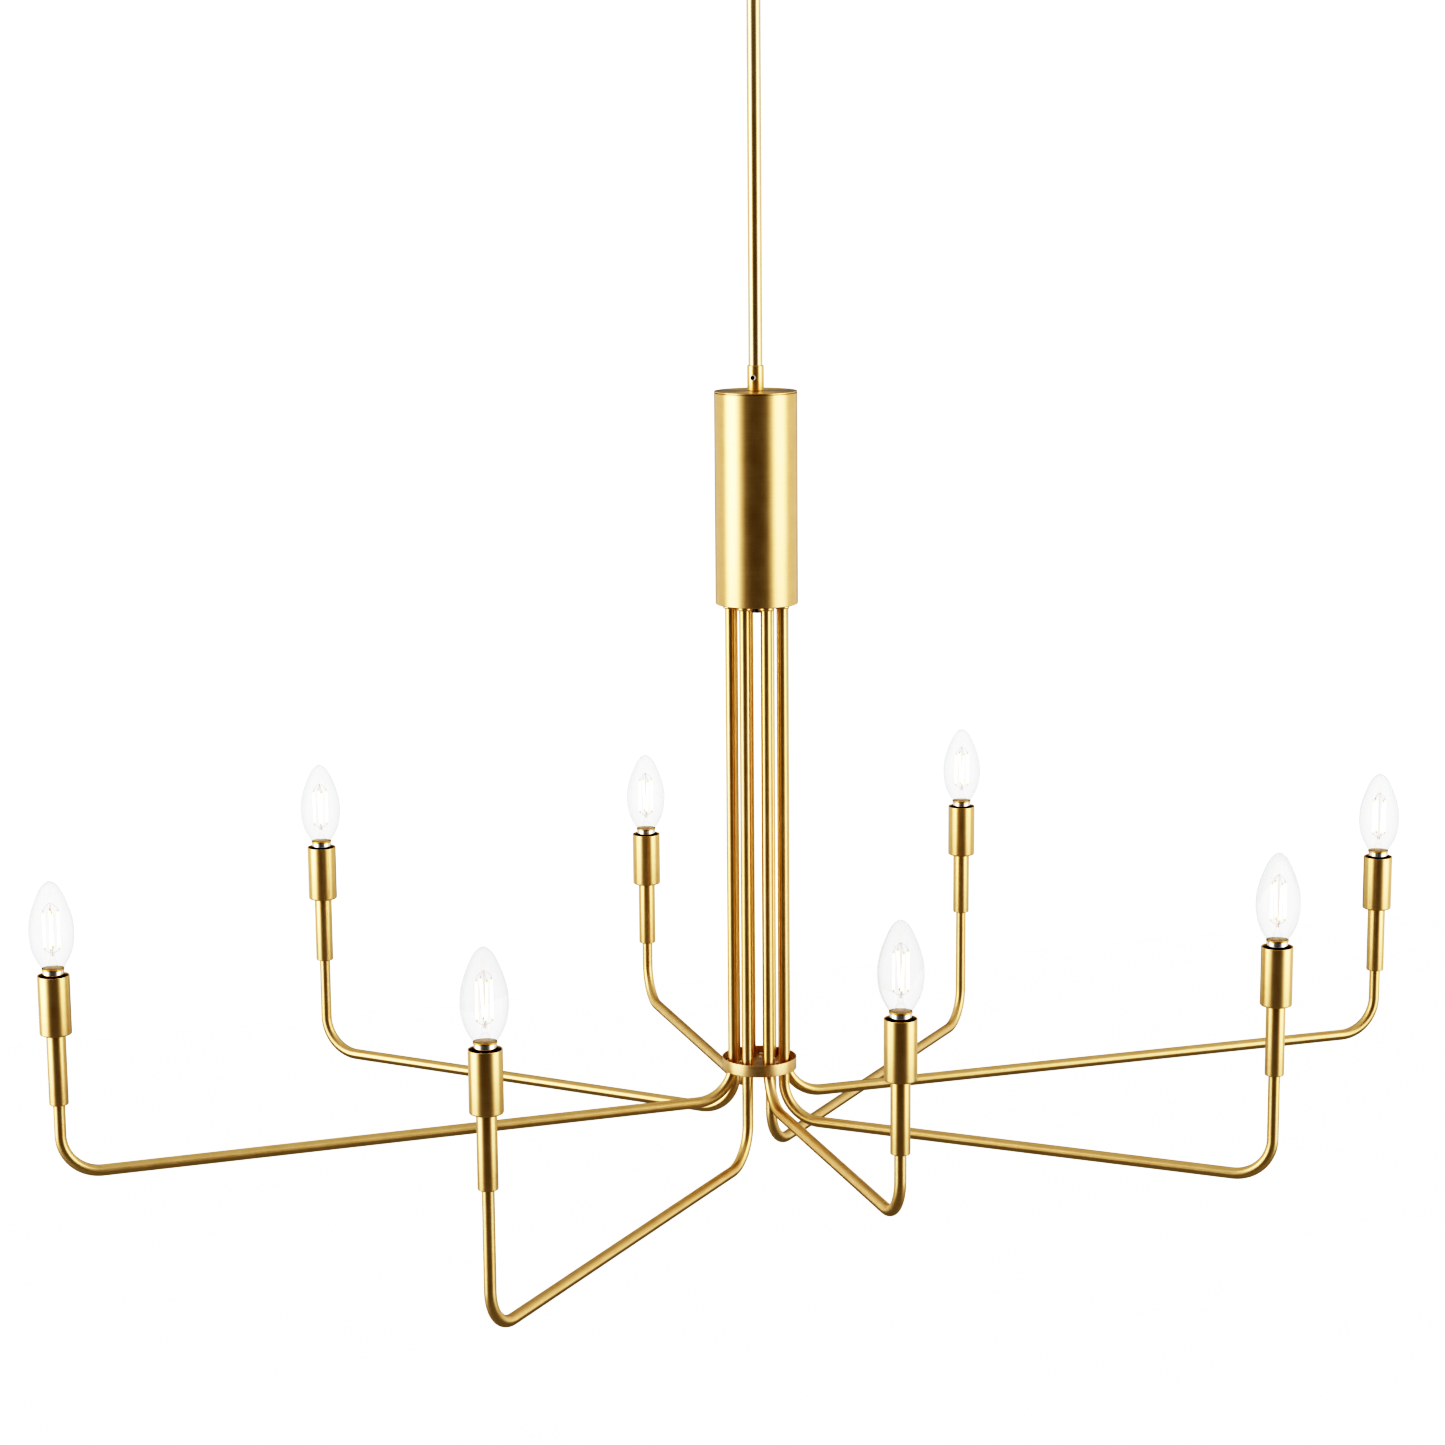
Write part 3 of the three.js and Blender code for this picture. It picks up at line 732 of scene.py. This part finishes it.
rod_bottom, rod_top = span("downrod")
rod_radius = half_width("downrod")
EYE_BOTTOM, EYE_TOP, EYE_RADIUS = span("rod_eye")[0], -68.0, 7.5
eye_profile = [
    [rod_radius + 0.15, EYE_BOTTOM, 0.2], [EYE_RADIUS, EYE_BOTTOM, 0.8],
    [EYE_RADIUS, EYE_TOP, 1.6], [0, EYE_TOP], [0, rod_top + PLAY],
    [rod_radius + 0.15, rod_top + PLAY],
]
eye_barrel = revolve("rod_eye_barrel", eye_profile)
tongue_outline = rounded_end(STRAP_WIDTH, EYE_TOP - 1.6, pivot_z)
pin_hole = circle(PIN_RADIUS + PLAY, 32, 0, pivot_z)
tongue = slab(
    "rod_eye_tongue", [tongue_outline, pin_hole], -TONGUE_HALF, TONGUE_HALF, 0.4, stand_up
)
refine("rod_eye", merged("rod_eye_fine", [eye_barrel, tongue]), fitting_brass)

# ---- Rod, coupler and housing ----

rod_profile = pipe(ROD_BORE, rod_radius, rod_bottom, rod_top, (0.2, 0.3, 0.3, 0.2))
turned("downrod", rod_profile, rod_brass, sides=56)

coupler_bottom, coupler_top = span("stem_coupler")
coupler_radius = half_width("stem_coupler")
tie_radius = half_width("tie_rod")
tie_hole = tie_radius + PLAY
coupler_profile = [
    [tie_hole, coupler_bottom],
    [coupler_radius, coupler_bottom, 0.3],
    [coupler_radius, coupler_top, 0.8],
    [rod_radius + 0.1, coupler_top, 0.2],
    [rod_radius + 0.1, rod_bottom - PLAY], [tie_hole, rod_bottom - PLAY],
]
turned("stem_coupler", coupler_profile, tube_brass)

screw = middle("coupler_set_screw")
SCREW_RADIUS, SCREW_PROUD, HEX_RADIUS, HEX_DEPTH = 2.4, 0.25, 1.7, 0.22
screw_face = coupler_radius + SCREW_PROUD
socket_floor = screw_face - HEX_DEPTH


def hex_socket(radius, z, angle):
    """Draws the middle of the grub screw's face in to a six-sided socket."""
    if radius > HEX_RADIUS + 0.01:
        return radius
    part = (angle % (math.pi / 3)) - math.pi / 6
    return radius * math.cos(math.pi / 6) / math.cos(part)


screw_profile = [
    [0, rod_radius + PLAY],
    [SCREW_RADIUS, rod_radius + PLAY],
    [SCREW_RADIUS, screw_face, 0.35], [HEX_RADIUS + 0.1, screw_face],
    [HEX_RADIUS, screw_face - 0.08], [HEX_RADIUS, socket_floor], [0, socket_floor],
]
# A dark disc just above the socket's floor is painted shade, standing for the shade deep in a real
# hex socket.
socket_shade_profile = [
    [0, socket_floor + 0.01],
    [HEX_RADIUS - 0.06, socket_floor + 0.01],
    [HEX_RADIUS - 0.06, socket_floor + 0.08], [0, socket_floor + 0.06],
]
for name, profile, material, stands_for in (
    ("coupler_set_screw_fine", screw_profile, bright_steel, ["coupler_set_screw"]),
    ("coupler_set_screw_socket_shade", socket_shade_profile, socket_shade_paint, []),
):
    mesh = revolve(name, profile, closed=False, sides=48, shape=hex_socket, sharp=25)
    mesh.transform(Matrix.Rotation(math.pi / 2, 4, "Y"))
    piece(
        name, mesh, material, "fixture", "steel",
        (0, 0, screw.z), math.atan2(screw.y, screw.x), stands_for,
    )

shell_bottom, shell_top = span("housing_shell")
housing_top = span("housing_cap")[1]
housing_radius = half_width("housing_shell")
shell_bore = housing_radius - HOUSING_WALL
lip_radius = shell_bore - PLAY
shell_profile = pipe(shell_bore, housing_radius, shell_bottom, shell_top, (0.5, 0.7, 0.15, 0))
turned("housing_shell", shell_profile, housing_brass, sides=128)
cap_bottom = shell_top + PLAY
cap_profile = [
    [tie_hole, cap_bottom - CAP_LIP],
    [lip_radius, cap_bottom - CAP_LIP],
    [lip_radius, cap_bottom + CAP_SHADOW],
    [housing_radius, cap_bottom + CAP_SHADOW, 0.2],
    [housing_radius, housing_top, 0.35], [tie_hole, housing_top],
]
turned("housing_cap", cap_profile, housing_brass, sides=128)

arm_azimuths = [math.radians(45 * i) for i in range(8)]
tube_centres = [on_circle(TUBE_CIRCLE, azimuth) for azimuth in arm_azimuths]
tube_holes = [circle(TUBE_RADIUS + PLAY, 40, *centre) for centre in tube_centres]
base_plate = slab(
    "base_plate",
    [circle(lip_radius, 96), circle(tie_hole, 40), *tube_holes],
    shell_bottom, shell_bottom + PLATE_THICKNESS,
)
ferrule_bottom, ferrule_top = shell_bottom - FERRULE_LENGTH, shell_bottom + 0.2
ferrule_profile = [
    [TUBE_RADIUS + 0.12, ferrule_bottom, 0.2],
    [FERRULE_RADIUS - 0.35, ferrule_bottom, 0.5],
    [FERRULE_RADIUS, ferrule_bottom + 0.9, 0.4], [FERRULE_RADIUS, ferrule_top],
    [TUBE_RADIUS + 0.12, ferrule_top],
]
ferrule = revolve("ferrule", ferrule_profile, sides=48)
ferrules = [placed(ferrule, Matrix.Translation((*centre, 0))) for centre in tube_centres]
base_plate_mesh = merged("housing_base_plate_fine", [base_plate, *ferrules])
refine("housing_base_plate", base_plate_mesh, fitting_brass)

TIE_THREAD_LENGTH = 16
tie_bottom, tie_top = span("tie_rod")
tie_thread_top = tie_bottom + TIE_THREAD_LENGTH
tie_profile = [
    [TIE_BORE, tie_bottom, 0.2], [tie_radius - 0.5, tie_bottom],
    *steps_between(tie_radius, tie_bottom + 0.5, tie_thread_top, ROD_THREAD_STEP),
    [tie_radius, tie_top], [TIE_BORE, tie_top],
]
turned(
    "tie_rod", tie_profile, zinc, "zinc_steel", sides=48, sharp=60,
    shape=rod_thread(tie_bottom, tie_thread_top),
)

nut_bottom, nut_top = span("tie_rod_bottom_nut")
NUT_CORNER = 8.5
NUT_FLAT = NUT_CORNER * math.cos(math.pi / 6)


def hexagonal(radius, z, angle):
    """Flattens the nut's outside to six sides; its chamfer stays round."""
    part = (angle % (math.pi / 3)) - math.pi / 6
    flat = NUT_FLAT / math.cos(part)
    return min(radius, flat) if radius > 6 else radius


nut_profile = [
    [tie_radius + 0.1, nut_bottom + 0.4], [tie_radius + 0.6, nut_bottom],
    [NUT_FLAT - 0.15, nut_bottom],
    [NUT_CORNER, nut_bottom + 0.55], [NUT_CORNER, nut_top - 0.55],
    [NUT_FLAT - 0.15, nut_top], [tie_radius + 0.6, nut_top],
    [tie_radius + 0.1, nut_top - 0.4],
]
nut_mesh = revolve("tie_rod_nut_fine", nut_profile, sides=96, shape=hexagonal, sharp=20)
refine("tie_rod_bottom_nut", nut_mesh, zinc, "zinc_steel")
top_nut_lift = (span("tie_rod_top_nut")[0] - nut_bottom) * MM
refine("tie_rod_top_nut", nut_mesh, zinc, "zinc_steel", location=(0, 0, top_nut_lift))

block_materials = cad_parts["terminal_block"].data.materials
block_materials.clear()
block_materials.append(pale_nylon)

# ---- Hub ----

hub_bottom, hub_top = span("hub_ring")
hub_radius = half_width("hub_ring")
HUB_WALL = 1.0
hub_bore = hub_radius - HUB_WALL
band_profile = pipe(hub_bore, hub_radius, hub_bottom, hub_top, (0.2, 0.25, 0.25, 0.2))
turned("hub_ring", band_profile, ring_brass, sides=128)

floor_bottom, floor_top = span("hub_plate")
hub_outlines = [circle(hub_bore - PLAY, 96), *tube_holes]
refine("hub_plate", slab("hub_disc", hub_outlines, floor_bottom, floor_top, 0.25), plate_brass)

HEAD_RADIUS, HEAD_HEIGHT, INNER_HEADS, OUTER_HEADS = 2.3, 1.5, 15.3, 25.9
RECESS_RADIUS = 0.95


def cross_recess(radius, z, angle):
    """Keeps the screw's head round; its recess is a small square star."""
    if radius > RECESS_RADIUS:
        return radius
    return radius * (0.72 + 0.28 * abs(math.cos(2 * angle)) ** 3)


head_profile = [
    [0, -1.0], [1.3, -1.0], [1.3, 0.02], [HEAD_RADIUS, 0.02, 0.15],
    [HEAD_RADIUS * 0.93, HEAD_HEIGHT * 0.5, 0.4],
    [HEAD_RADIUS * 0.62, HEAD_HEIGHT * 0.9, 0.5], [RECESS_RADIUS, HEAD_HEIGHT],
    [0.9, HEAD_HEIGHT - 0.1], [0.7, HEAD_HEIGHT - 0.8], [0, HEAD_HEIGHT - 0.95],
]
head = revolve("screw_head", head_profile, closed=False, sides=32, shape=cross_recess)
heads = []
for index, azimuth in enumerate(arm_azimuths):
    twist = Matrix.Rotation(0.9 * index, 4, "Z")
    for radius in (INNER_HEADS, OUTER_HEADS):
        centre = on_circle(radius, azimuth + math.radians(22.5))
        heads.append(placed(head, Matrix.Translation((*centre, floor_top)) @ twist))
screws_mesh = merged("hub_screws_fine", heads)
piece("hub_screws_fine", screws_mesh, screw_steel, "fixture", "steel")

# ---- Arms ----


def arm_stations(reach, top, level, end):
    """An arm's centre line from its drop tube's axis: down, out along its level run, and up."""
    stations = [(0, top, -math.pi / 2)]
    bends = ((INNER_BEND, INNER_BEND, math.pi), (reach - OUTER_BEND, OUTER_BEND, 1.5 * math.pi))
    for x, radius, start in bends:
        for k in range(BEND_STEPS + 1):
            angle = start + math.pi / 2 * k / BEND_STEPS
            across, up = on_circle(radius, angle)
            stations.append((x + across, level + radius + up, angle + math.pi / 2))
    stations.append((reach, end, 2.5 * math.pi))
    return stations


cup_low, cup_high = span("candle_cup_1")
cup_radius = half_width("candle_cup_1")
cup_depth = cup_high - cup_low
sleeve_low, sleeve_high = span("candle_sleeve_1")
sleeve_radius = half_width("candle_sleeve_1")
sleeve_top, sleeve_bottom = sleeve_high - cup_high, sleeve_low - cup_high
arm_hole = TUBE_RADIUS + 0.2

sleeve_profile = pipe(arm_hole, sleeve_radius, sleeve_bottom, sleeve_top, (0.3, 0.9, 0.2, 0))
sleeve_mesh = revolve("candle_sleeve", sleeve_profile, sides=56)
cup_mesh = revolve(
    "candle_cup",
    [
        [arm_hole, -cup_depth],
        [cup_radius, -cup_depth, 1.3], [cup_radius, 0, 0.3],
        [cup_radius - CUP_WALL, 0, 0.3],
        [cup_radius - CUP_WALL, -cup_depth + CUP_FLOOR, 0.6],
        [arm_hole, -cup_depth + CUP_FLOOR],
    ],
    sides=72,
)
SEAT_RADIUS, SEAT_FLOOR, CONTACT_HOLE = 7.0, -24.2, 2.2
socket_low, socket_high = span("lamp_socket_1")
socket_top, socket_bottom = socket_high - cup_high, socket_low - cup_high
socket_mesh = revolve(
    "lamp_socket",
    [
        [0, socket_bottom],
        [SOCKET_RADIUS, socket_bottom, 0.6],
        [SOCKET_RADIUS, socket_top, 0.7], [8.9, socket_top, 0.3],
        [7.3, socket_top - 3.0, 0.4], [7.3, socket_top - 4.0],
        [SEAT_RADIUS, socket_top - 4.2], [SEAT_RADIUS, SEAT_FLOOR],
        [CONTACT_HOLE, SEAT_FLOOR],
        [CONTACT_HOLE, SEAT_FLOOR - 1.2], [0, SEAT_FLOOR - 1.2],
    ],
    closed=False,
)
THREAD_PITCH = 2.4
LINER_TOP, LINER_BOTTOM = -5.0, -19.5
liner_profile = [
    *steps_between(6.95, LINER_BOTTOM, LINER_TOP, 0.4),
    *steps_between(6.7, LINER_TOP, LINER_BOTTOM, 0.4),
]
liner_mesh = revolve(
    "socket_liner", liner_profile, sides=48, sharp=60,
    shape=thread_shape(LINER_BOTTOM, LINER_TOP, THREAD_PITCH, 0.4),
)
contact_profile = [
    [0, -24.1], [4.4, -24.1, 0.1], [4.4, -23.8, 0.1], [2.0, -23.3, 0.3], [1.6, -22.0, 0.4],
    [0, -21.7],
]
contact_mesh = revolve("socket_contact", contact_profile, closed=False, sides=32)


def rim_centre(number):
    low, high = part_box(f"candle_cup_{number}")
    return (*((low + high) / 2).xy, high.z)


arm_meshes = {}
for number in range(1, 9):
    node = f"arm_{number}"
    seat = rim_centre(number)
    drop = Vector((*on_circle(TUBE_CIRCLE * MM, arm_azimuths[number - 1]), 0))
    out = Vector(seat) - drop
    reach = math.hypot(out.x, out.y) / MM
    azimuth = math.atan2(out.y, out.x)
    low, high = span(node)
    level = low + TUBE_RADIUS
    key = (round(reach, 1), round(level, 1))
    if key not in arm_meshes:
        cup_floor = span(f"candle_cup_{number}")[0] + CUP_FLOOR
        stations = arm_stations(reach, high, level, cup_floor)
        name = f"arm_tube_{len(arm_meshes) + 1}"
        arm_meshes[key] = sweep(name, stations, TUBE_RADIUS, TUBE_BORE)
    refine(node, arm_meshes[key], tube_brass, location=drop, turn=azimuth)
    for part, mesh, material, slot in (
        ("candle_sleeve", sleeve_mesh, cup_brass, "brushed_brass"),
        ("candle_cup", cup_mesh, cup_brass, "brushed_brass"),
        ("lamp_socket", socket_mesh, phenolic, "black_plastic"),
    ):
        refine(f"{part}_{number}", mesh, material, slot, location=seat, turn=azimuth)
    for part, mesh in (("socket_liner", liner_mesh), ("socket_contact", contact_mesh)):
        name = f"{part}_{number}"
        piece(name, mesh, shell_brass, "fixture", "brushed_brass", seat, azimuth)

# ---- Lamps, built on Z with the cup's rim at zero ----


def smooth_curve(points, samples, beyond):
    """A Catmull-Rom curve through points of (radius, z); its end heads for the point beyond."""
    result = []
    ends = [points[0], *points, beyond]
    for i in range(len(points) - 1):
        p0, p1, p2, p3 = (Vector(p) for p in ends[i : i + 4])
        for k in range(samples):
            t = k / samples
            result.append(
                0.5 * (2 * p1 + (p2 - p0) * t + (2 * p0 - 5 * p1 + 4 * p2 - p3) * t**2
                       + (3 * p1 - p0 - 3 * p2 + p3) * t**3)
            )
    result.append(Vector(points[-1]))
    return result


def two_skins(name, outer, inner, sides=64):
    """A closed shell of two open profiles that both end on the axis, joined at their start."""
    work = bmesh.new()
    work.from_mesh(revolve(name + "_outer", outer, closed=False, sides=sides))
    work.from_mesh(revolve(name + "_inner", inner, closed=False, sides=sides))
    bmesh.ops.bridge_loops(work, edges=[e for e in work.edges if e.is_boundary])
    bmesh.ops.recalc_face_normals(work, faces=work.faces)
    mesh = bpy.data.meshes.new(name)
    work.to_mesh(mesh)
    work.free()
    mesh.shade_smooth()
    return mesh


NECK_START = GLASS_NECK - 0.5
GLASS_SIDE = [
    (NECK_RADIUS, GLASS_NECK), (10.2, 8.6), (13.5, 14.6), (16.1, 22.0), (GLASS_BELLY, 32.5),
    (16.7, 44.0), (13.3, 56.0), (8.3, 67.5),
]


def glass_profile(wall):
    """The glass from its neck to its round tip, drawn in by a wall."""
    side = [(radius - wall, z) for radius, z in GLASS_SIDE]
    shoulder = (4.4 - wall * 0.4, GLASS_TIP - 2.2 - wall)
    points = [*side, shoulder, (0, GLASS_TIP - wall)]
    outline = smooth_curve(points, 6, (-shoulder[0], shoulder[1]))
    return [[NECK_RADIUS - wall, NECK_START], *[[max(p.x, 0), p.y] for p in outline]]


glass_mesh = two_skins("lamp_glass", glass_profile(0), glass_profile(GLASS_WALL))

ring_profile = [[8.45, 4.5], [8.8, 4.5, 0.15], [8.8, 5.7, 0.25], [8.5, 5.9], [8.45, 5.0]]
ring_mesh = revolve("lamp_ring", ring_profile, sides=56)
cement_profile = [[0, 4.6], [7.7, 4.6], [7.7, 6.0, 0.3], [4.5, 6.6, 0.5], [0, 6.7]]
cement_mesh = revolve("lamp_cement", cement_profile, closed=False, sides=48)
base_profile = [
    [0, -18.2], [3.4, -18.2, 0.2], [5.0, -16.9, 0.3],
    *steps_between(5.85, -16.4, -3.2, 0.3),
    [5.9, -2.6, 0.6], [7.6, -0.6, 0.8], [SKIRT_RADIUS, 0.2, 0.8], [SKIRT_RADIUS, 4.55, 0.1],
    [0, 4.55],
]
base_mesh = revolve(
    "lamp_base", base_profile, closed=False, sides=56, sharp=60,
    shape=thread_shape(-16.6, -3.0, THREAD_PITCH, 0.55, 5.0),
)
insulator_profile = [[0, -19.6], [2.2, -19.6, 0.3], [3.8, -18.0], [0, -17.8]]
insulator_mesh = revolve("lamp_insulator", insulator_profile, closed=False, sides=32)
tip_profile = [[0, -21.0], [1.6, -20.8, 0.6], [2.0, -19.5], [0, -19.3]]
tip_mesh = revolve("lamp_tip_contact", tip_profile, closed=False, sides=24)
stem_profile = [
    [0, 6.4], [3.9, 6.4], [3.6, 9.5, 2.0], [2.2, 12.5, 2.0], [1.9, 15.5, 1.5],
    [2.2, 17.2, 0.6], [1.5, 18.6, 0.8], [0, 19.0],
]
stem_mesh = revolve("lamp_stem", stem_profile, closed=False, sides=32)

FILAMENT_LOW, FILAMENT_HIGH, FILAMENT_REACH = 22.3, 50.0, 5.6
FILAMENT_RADIUS, CLIP_RADIUS = 0.85, 0.5
FILAMENT_TWIST = math.radians(7)
STEM_TOP = 15.5


def rod_between(start, end, radius, sides=10):
    """A thin rod between two points, with softened ends."""
    length = (end - start).length
    corner = radius * 0.6
    profile = [[0, 0], [radius, 0, corner], [radius, length, corner], [0, length]]
    mesh = revolve("rod", profile, closed=False, sides=sides, steps=2)
    turn = (end - start).to_track_quat("Z", "Y").to_matrix().to_4x4()
    turn.translation = start * MM
    mesh.transform(turn)
    return mesh


def wire(points, radius=0.16, sides=8):
    """A bent wire through the points."""
    path = smooth_curve(points, 6, points[-1])
    lengths = along(path, False)
    rings, grain = [[path[0]]], [(0, 0, 0)]
    side = (path[1] - path[0]).orthogonal().normalized()
    for i, point in enumerate(path):
        heading = (path[min(i + 1, len(path) - 1)] - path[max(i - 1, 0)]).normalized()
        side = (side - heading * side.dot(heading)).normalized()
        up = heading.cross(side)
        offsets = circle(radius, sides)
        rings.append([point + side * x + up * y for x, y in offsets])
        grain += [(lengths[i], x, y) for x, y in offsets]
    rings.append([path[-1]])
    grain.append((lengths[-1], 0, 0))
    return skin("wire", rings, [0, *lengths, lengths[-1]], grain, False, 60)


def spot(radius, angle, z):
    return Vector((*on_circle(radius, angle), z))


strips, clips, wires = [], [], []
for k in range(4):
    base_angle = math.radians(15 + 90 * k)
    foot = spot(FILAMENT_REACH * 0.96, base_angle - FILAMENT_TWIST, FILAMENT_LOW)
    crown = spot(FILAMENT_REACH, base_angle + FILAMENT_TWIST, FILAMENT_HIGH)
    lean = (crown - foot).normalized()
    strips.append(rod_between(foot, crown, FILAMENT_RADIUS, 12))
    clips.append(rod_between(foot - lean * 2.0, foot + lean * 0.3, CLIP_RADIUS))
    clips.append(rod_between(crown - lean * 0.3, crown + lean * 2.0, CLIP_RADIUS))
    low_end, high_end = foot - lean * 1.9, crown + lean * 1.9
    elbow = low_end * 0.55 + Vector((0, 0, low_end.z * 0.36))
    wires.append(
        wire([low_end, elbow, spot(1.3, base_angle, 18.2), spot(0.9, base_angle, STEM_TOP)])
    )
    over = spot(3.2, base_angle, FILAMENT_HIGH + 5.2)
    wires.append(wire([high_end, over, spot(0.5, base_angle, FILAMENT_HIGH + 7.4)], 0.14))
mast = [(0.3, STEM_TOP), (0.25, 30), (0.2, 48), (0, FILAMENT_HIGH + 7.6)]
wires.append(wire([spot(radius, 0, z) for radius, z in mast], 0.2))
strip_mesh = merged("lamp_filaments", strips)
clip_mesh = merged("lamp_clips", clips)
wire_mesh = merged("lamp_wires", wires)
glow = filament("filament_phosphor", FILAMENT_LOW * MM, FILAMENT_HIGH * MM)

CAMERA_AZIMUTH = math.radians(19.28)
for number in range(1, 9):
    seat = rim_centre(number)
    body = f"lamp_{number}"
    turn = -CAMERA_AZIMUTH + math.radians(5 * math.sin(2.3 * number))
    for part, mesh, material, slot, stands_for in (
        ("glass", glass_mesh, bulb_glass, "clear_glass", [f"bulb_{number}"]),
        ("ring", ring_mesh, shell_brass, "steel", []),
        ("cement", cement_mesh, cement, "tan_cement", []),
        ("base", base_mesh, nickel, "steel", []),
        ("insulator", insulator_mesh, phenolic, "black_plastic", []),
        ("tip", tip_mesh, solder, "steel", []),
        ("stem", stem_mesh, stem_glass, "clear_glass", []),
        ("filaments", strip_mesh, glow, "lamp_filament", []),
        ("clips", clip_mesh, zinc, "steel", []),
        ("wires", wire_mesh, lead_wire, "steel", []),
    ):
        part_turn = turn if part in ("filaments", "clips", "wires") else 0.0
        piece(f"lamp_{number}_{part}", mesh, material, body, slot, seat, part_turn, stands_for)

# ---- Studio ----

CAMERA_DISTANCE, CAMERA_HEIGHT = 2.6687, 0.6444
CAMERA_YAW, CAMERA_PITCH = math.radians(-0.621), math.radians(10.303)
CAMERA_ROLL = math.radians(0.433)
to_row = Matrix.Rotation(-CAMERA_AZIMUTH, 4, "Z")

camera_data = bpy.data.cameras.new("camera")
camera_data.lens = 81.68
camera_data.sensor_width = 36
camera_data.clip_end = 60
camera = bpy.data.objects.new("camera", camera_data)
bpy.context.scene.collection.objects.link(camera)
aim = (
    Matrix.Rotation(-CAMERA_YAW, 4, "Z")
    @ Matrix.Rotation(math.pi / 2 - CAMERA_PITCH, 4, "X")
    @ Matrix.Rotation(-CAMERA_ROLL, 4, "Z")
)
stand = Matrix.Translation((0, -CAMERA_DISTANCE, rim_centre(1)[2] + CAMERA_HEIGHT))
camera.matrix_world = to_row @ stand @ aim
bpy.context.scene.camera = camera

FLOOR_Z = -3.4
TENT_PEAK = 2.7
TENT_RADIUS, TENT_LOW, TENT_HIGH, TENT_SIDES = 2.9, -2.28, 1.7, 64
TENT_RISE, TENT_FALL = (-2.27, -1.6), (0.5, 1.6)
FLOOR_LEVEL, ROOF_LEVEL = 0.28, 0.6
# Azimuth from the camera's side in degrees, and the tent's radiance there.
TENT_STOPS = [
    (-180, 0.28), (-168, 0.30), (-148, 0.76), (-100, 0.84), (-86, 2.4), (-59, 2.6), (-45, 1.0),
    (-30, 0.26), (-14, 0.175), (16, 0.175), (30, 0.26), (44, 0.85), (57, 2.2), (82, 2.1),
    (100, 0.9), (148, 0.76), (168, 0.30), (180, 0.28),
]


def studio_mesh(name, verts, faces, material):
    mesh = bpy.data.meshes.new(name)
    mesh.from_pydata(verts, [], faces)
    mesh.materials.append(material)
    obj = bpy.data.objects.new(name, mesh)
    bpy.context.scene.collection.objects.link(obj)
    return obj


def tent_light():
    """Light that varies with the azimuth from the camera's side, and fades at top and bottom."""
    n = Nodes(bpy.data.materials.new("tent_light"))
    place = n.add("SeparateXYZ", {"Vector": n.add("TexCoord").outputs["Object"]}).outputs
    azimuth = n.math("ARCTAN2", place["X"], n.math("MULTIPLY", place["Y"], -1))
    ramp = n.add("ValToRGB", {"Fac": n.fit(azimuth, 0, 1, -math.pi, math.pi)})
    elements = ramp.color_ramp.elements
    while len(elements) < len(TENT_STOPS):
        elements.new(0.5)
    for element, (degrees, value) in zip(elements, TENT_STOPS):
        element.position = (degrees + 180) / 360
        element.color = (*[value / TENT_PEAK] * 3, 1)
    rise = n.fit(place["Z"], 0, 1, *TENT_RISE)
    fall = n.fit(place["Z"], 1, 0, *TENT_FALL)
    faded = n.mix(fall, (ROOF_LEVEL / TENT_PEAK,) * 3, ramp.outputs["Color"])
    faded = n.mix(rise, (FLOOR_LEVEL / TENT_PEAK,) * 3, faded)
    n.surface("Emission", {"Color": faded, "Strength": TENT_PEAK})
    return n.owner


tent_edge = circle(TENT_RADIUS, TENT_SIDES)
tent_verts = [(x, y, z) for x, y in tent_edge for z in (TENT_LOW, TENT_HIGH)]
tent_faces = [tuple(range(0, 2 * TENT_SIDES, 2))]
for k in range(TENT_SIDES):
    after = (k + 1) % TENT_SIDES
    tent_faces.append((2 * k, 2 * after, 2 * after + 1, 2 * k + 1))
tent = studio_mesh("studio_tent", tent_verts, tent_faces, tent_light())
tent.matrix_world = to_row
# The camera doesn't see the tent; it only shows in the metal.
for ray in ("camera", "shadow", "diffuse", "transmission"):
    setattr(tent, "visible_" + ray, False)

FLOOR_EDGE = 9.0
pale = Nodes(bpy.data.materials.new("floor_pale"))
clouds = pale.noise(pale.add("TexCoord").outputs["Object"], (3, 3, 3), 3)
pale.surface("BsdfPrincipled", {
    "Base Color": pale.mix(clouds, (0.93, 0.93, 0.925), (0.96, 0.96, 0.955)),
    "Roughness": 0.9,
})
floor_corners = [
    (x * FLOOR_EDGE, y * FLOOR_EDGE, 0) for x, y in ((-1, -1), (1, -1), (1, 1), (-1, 1))
]
floor = studio_mesh("floor", floor_corners, [(0, 1, 2, 3)], pale.owner)
floor.location = (0, 0, FLOOR_Z)

BACKDROP_LEVEL = 1.5
sky = Nodes(bpy.data.worlds.new("studio"), "OutputWorld")
rays = sky.add("LightPath").outputs
seen = sky.math("MAXIMUM", rays["Is Camera Ray"], rays["Is Transmission Ray"])
lit = sky.math("MAXIMUM", seen, rays["Is Diffuse Ray"])
backdrop = sky.fit(lit, ROOF_LEVEL, BACKDROP_LEVEL, 0, 1)
sky.surface("Background", {"Color": backdrop, "Strength": 1.0})
bpy.context.scene.world = sky.owner

view = bpy.context.scene.view_settings
view.view_transform = "Standard"
view.use_curve_mapping = True
FULL_WHITE = 1.4
# A soft film curve, from scene radiance to shown brightness.
TONE = [
    (0, 0), (0.11, 0.012), (0.19, 0.067), (0.28, 0.172), (0.40, 0.352),
    (0.56, 0.56), (0.75, 0.76), (1.0, 0.88), (FULL_WHITE, 1),
]
curve_map = view.curve_mapping
curve_map.white_level = (FULL_WHITE,) * 3
tone_curve = curve_map.curves[3]
while len(tone_curve.points) < len(TONE):
    tone_curve.points.new(0.5, 0.5)
for point, (level, shown) in zip(tone_curve.points, TONE):
    point.location = (level / FULL_WHITE, shown)
curve_map.update()

bpy.context.view_layer.update()
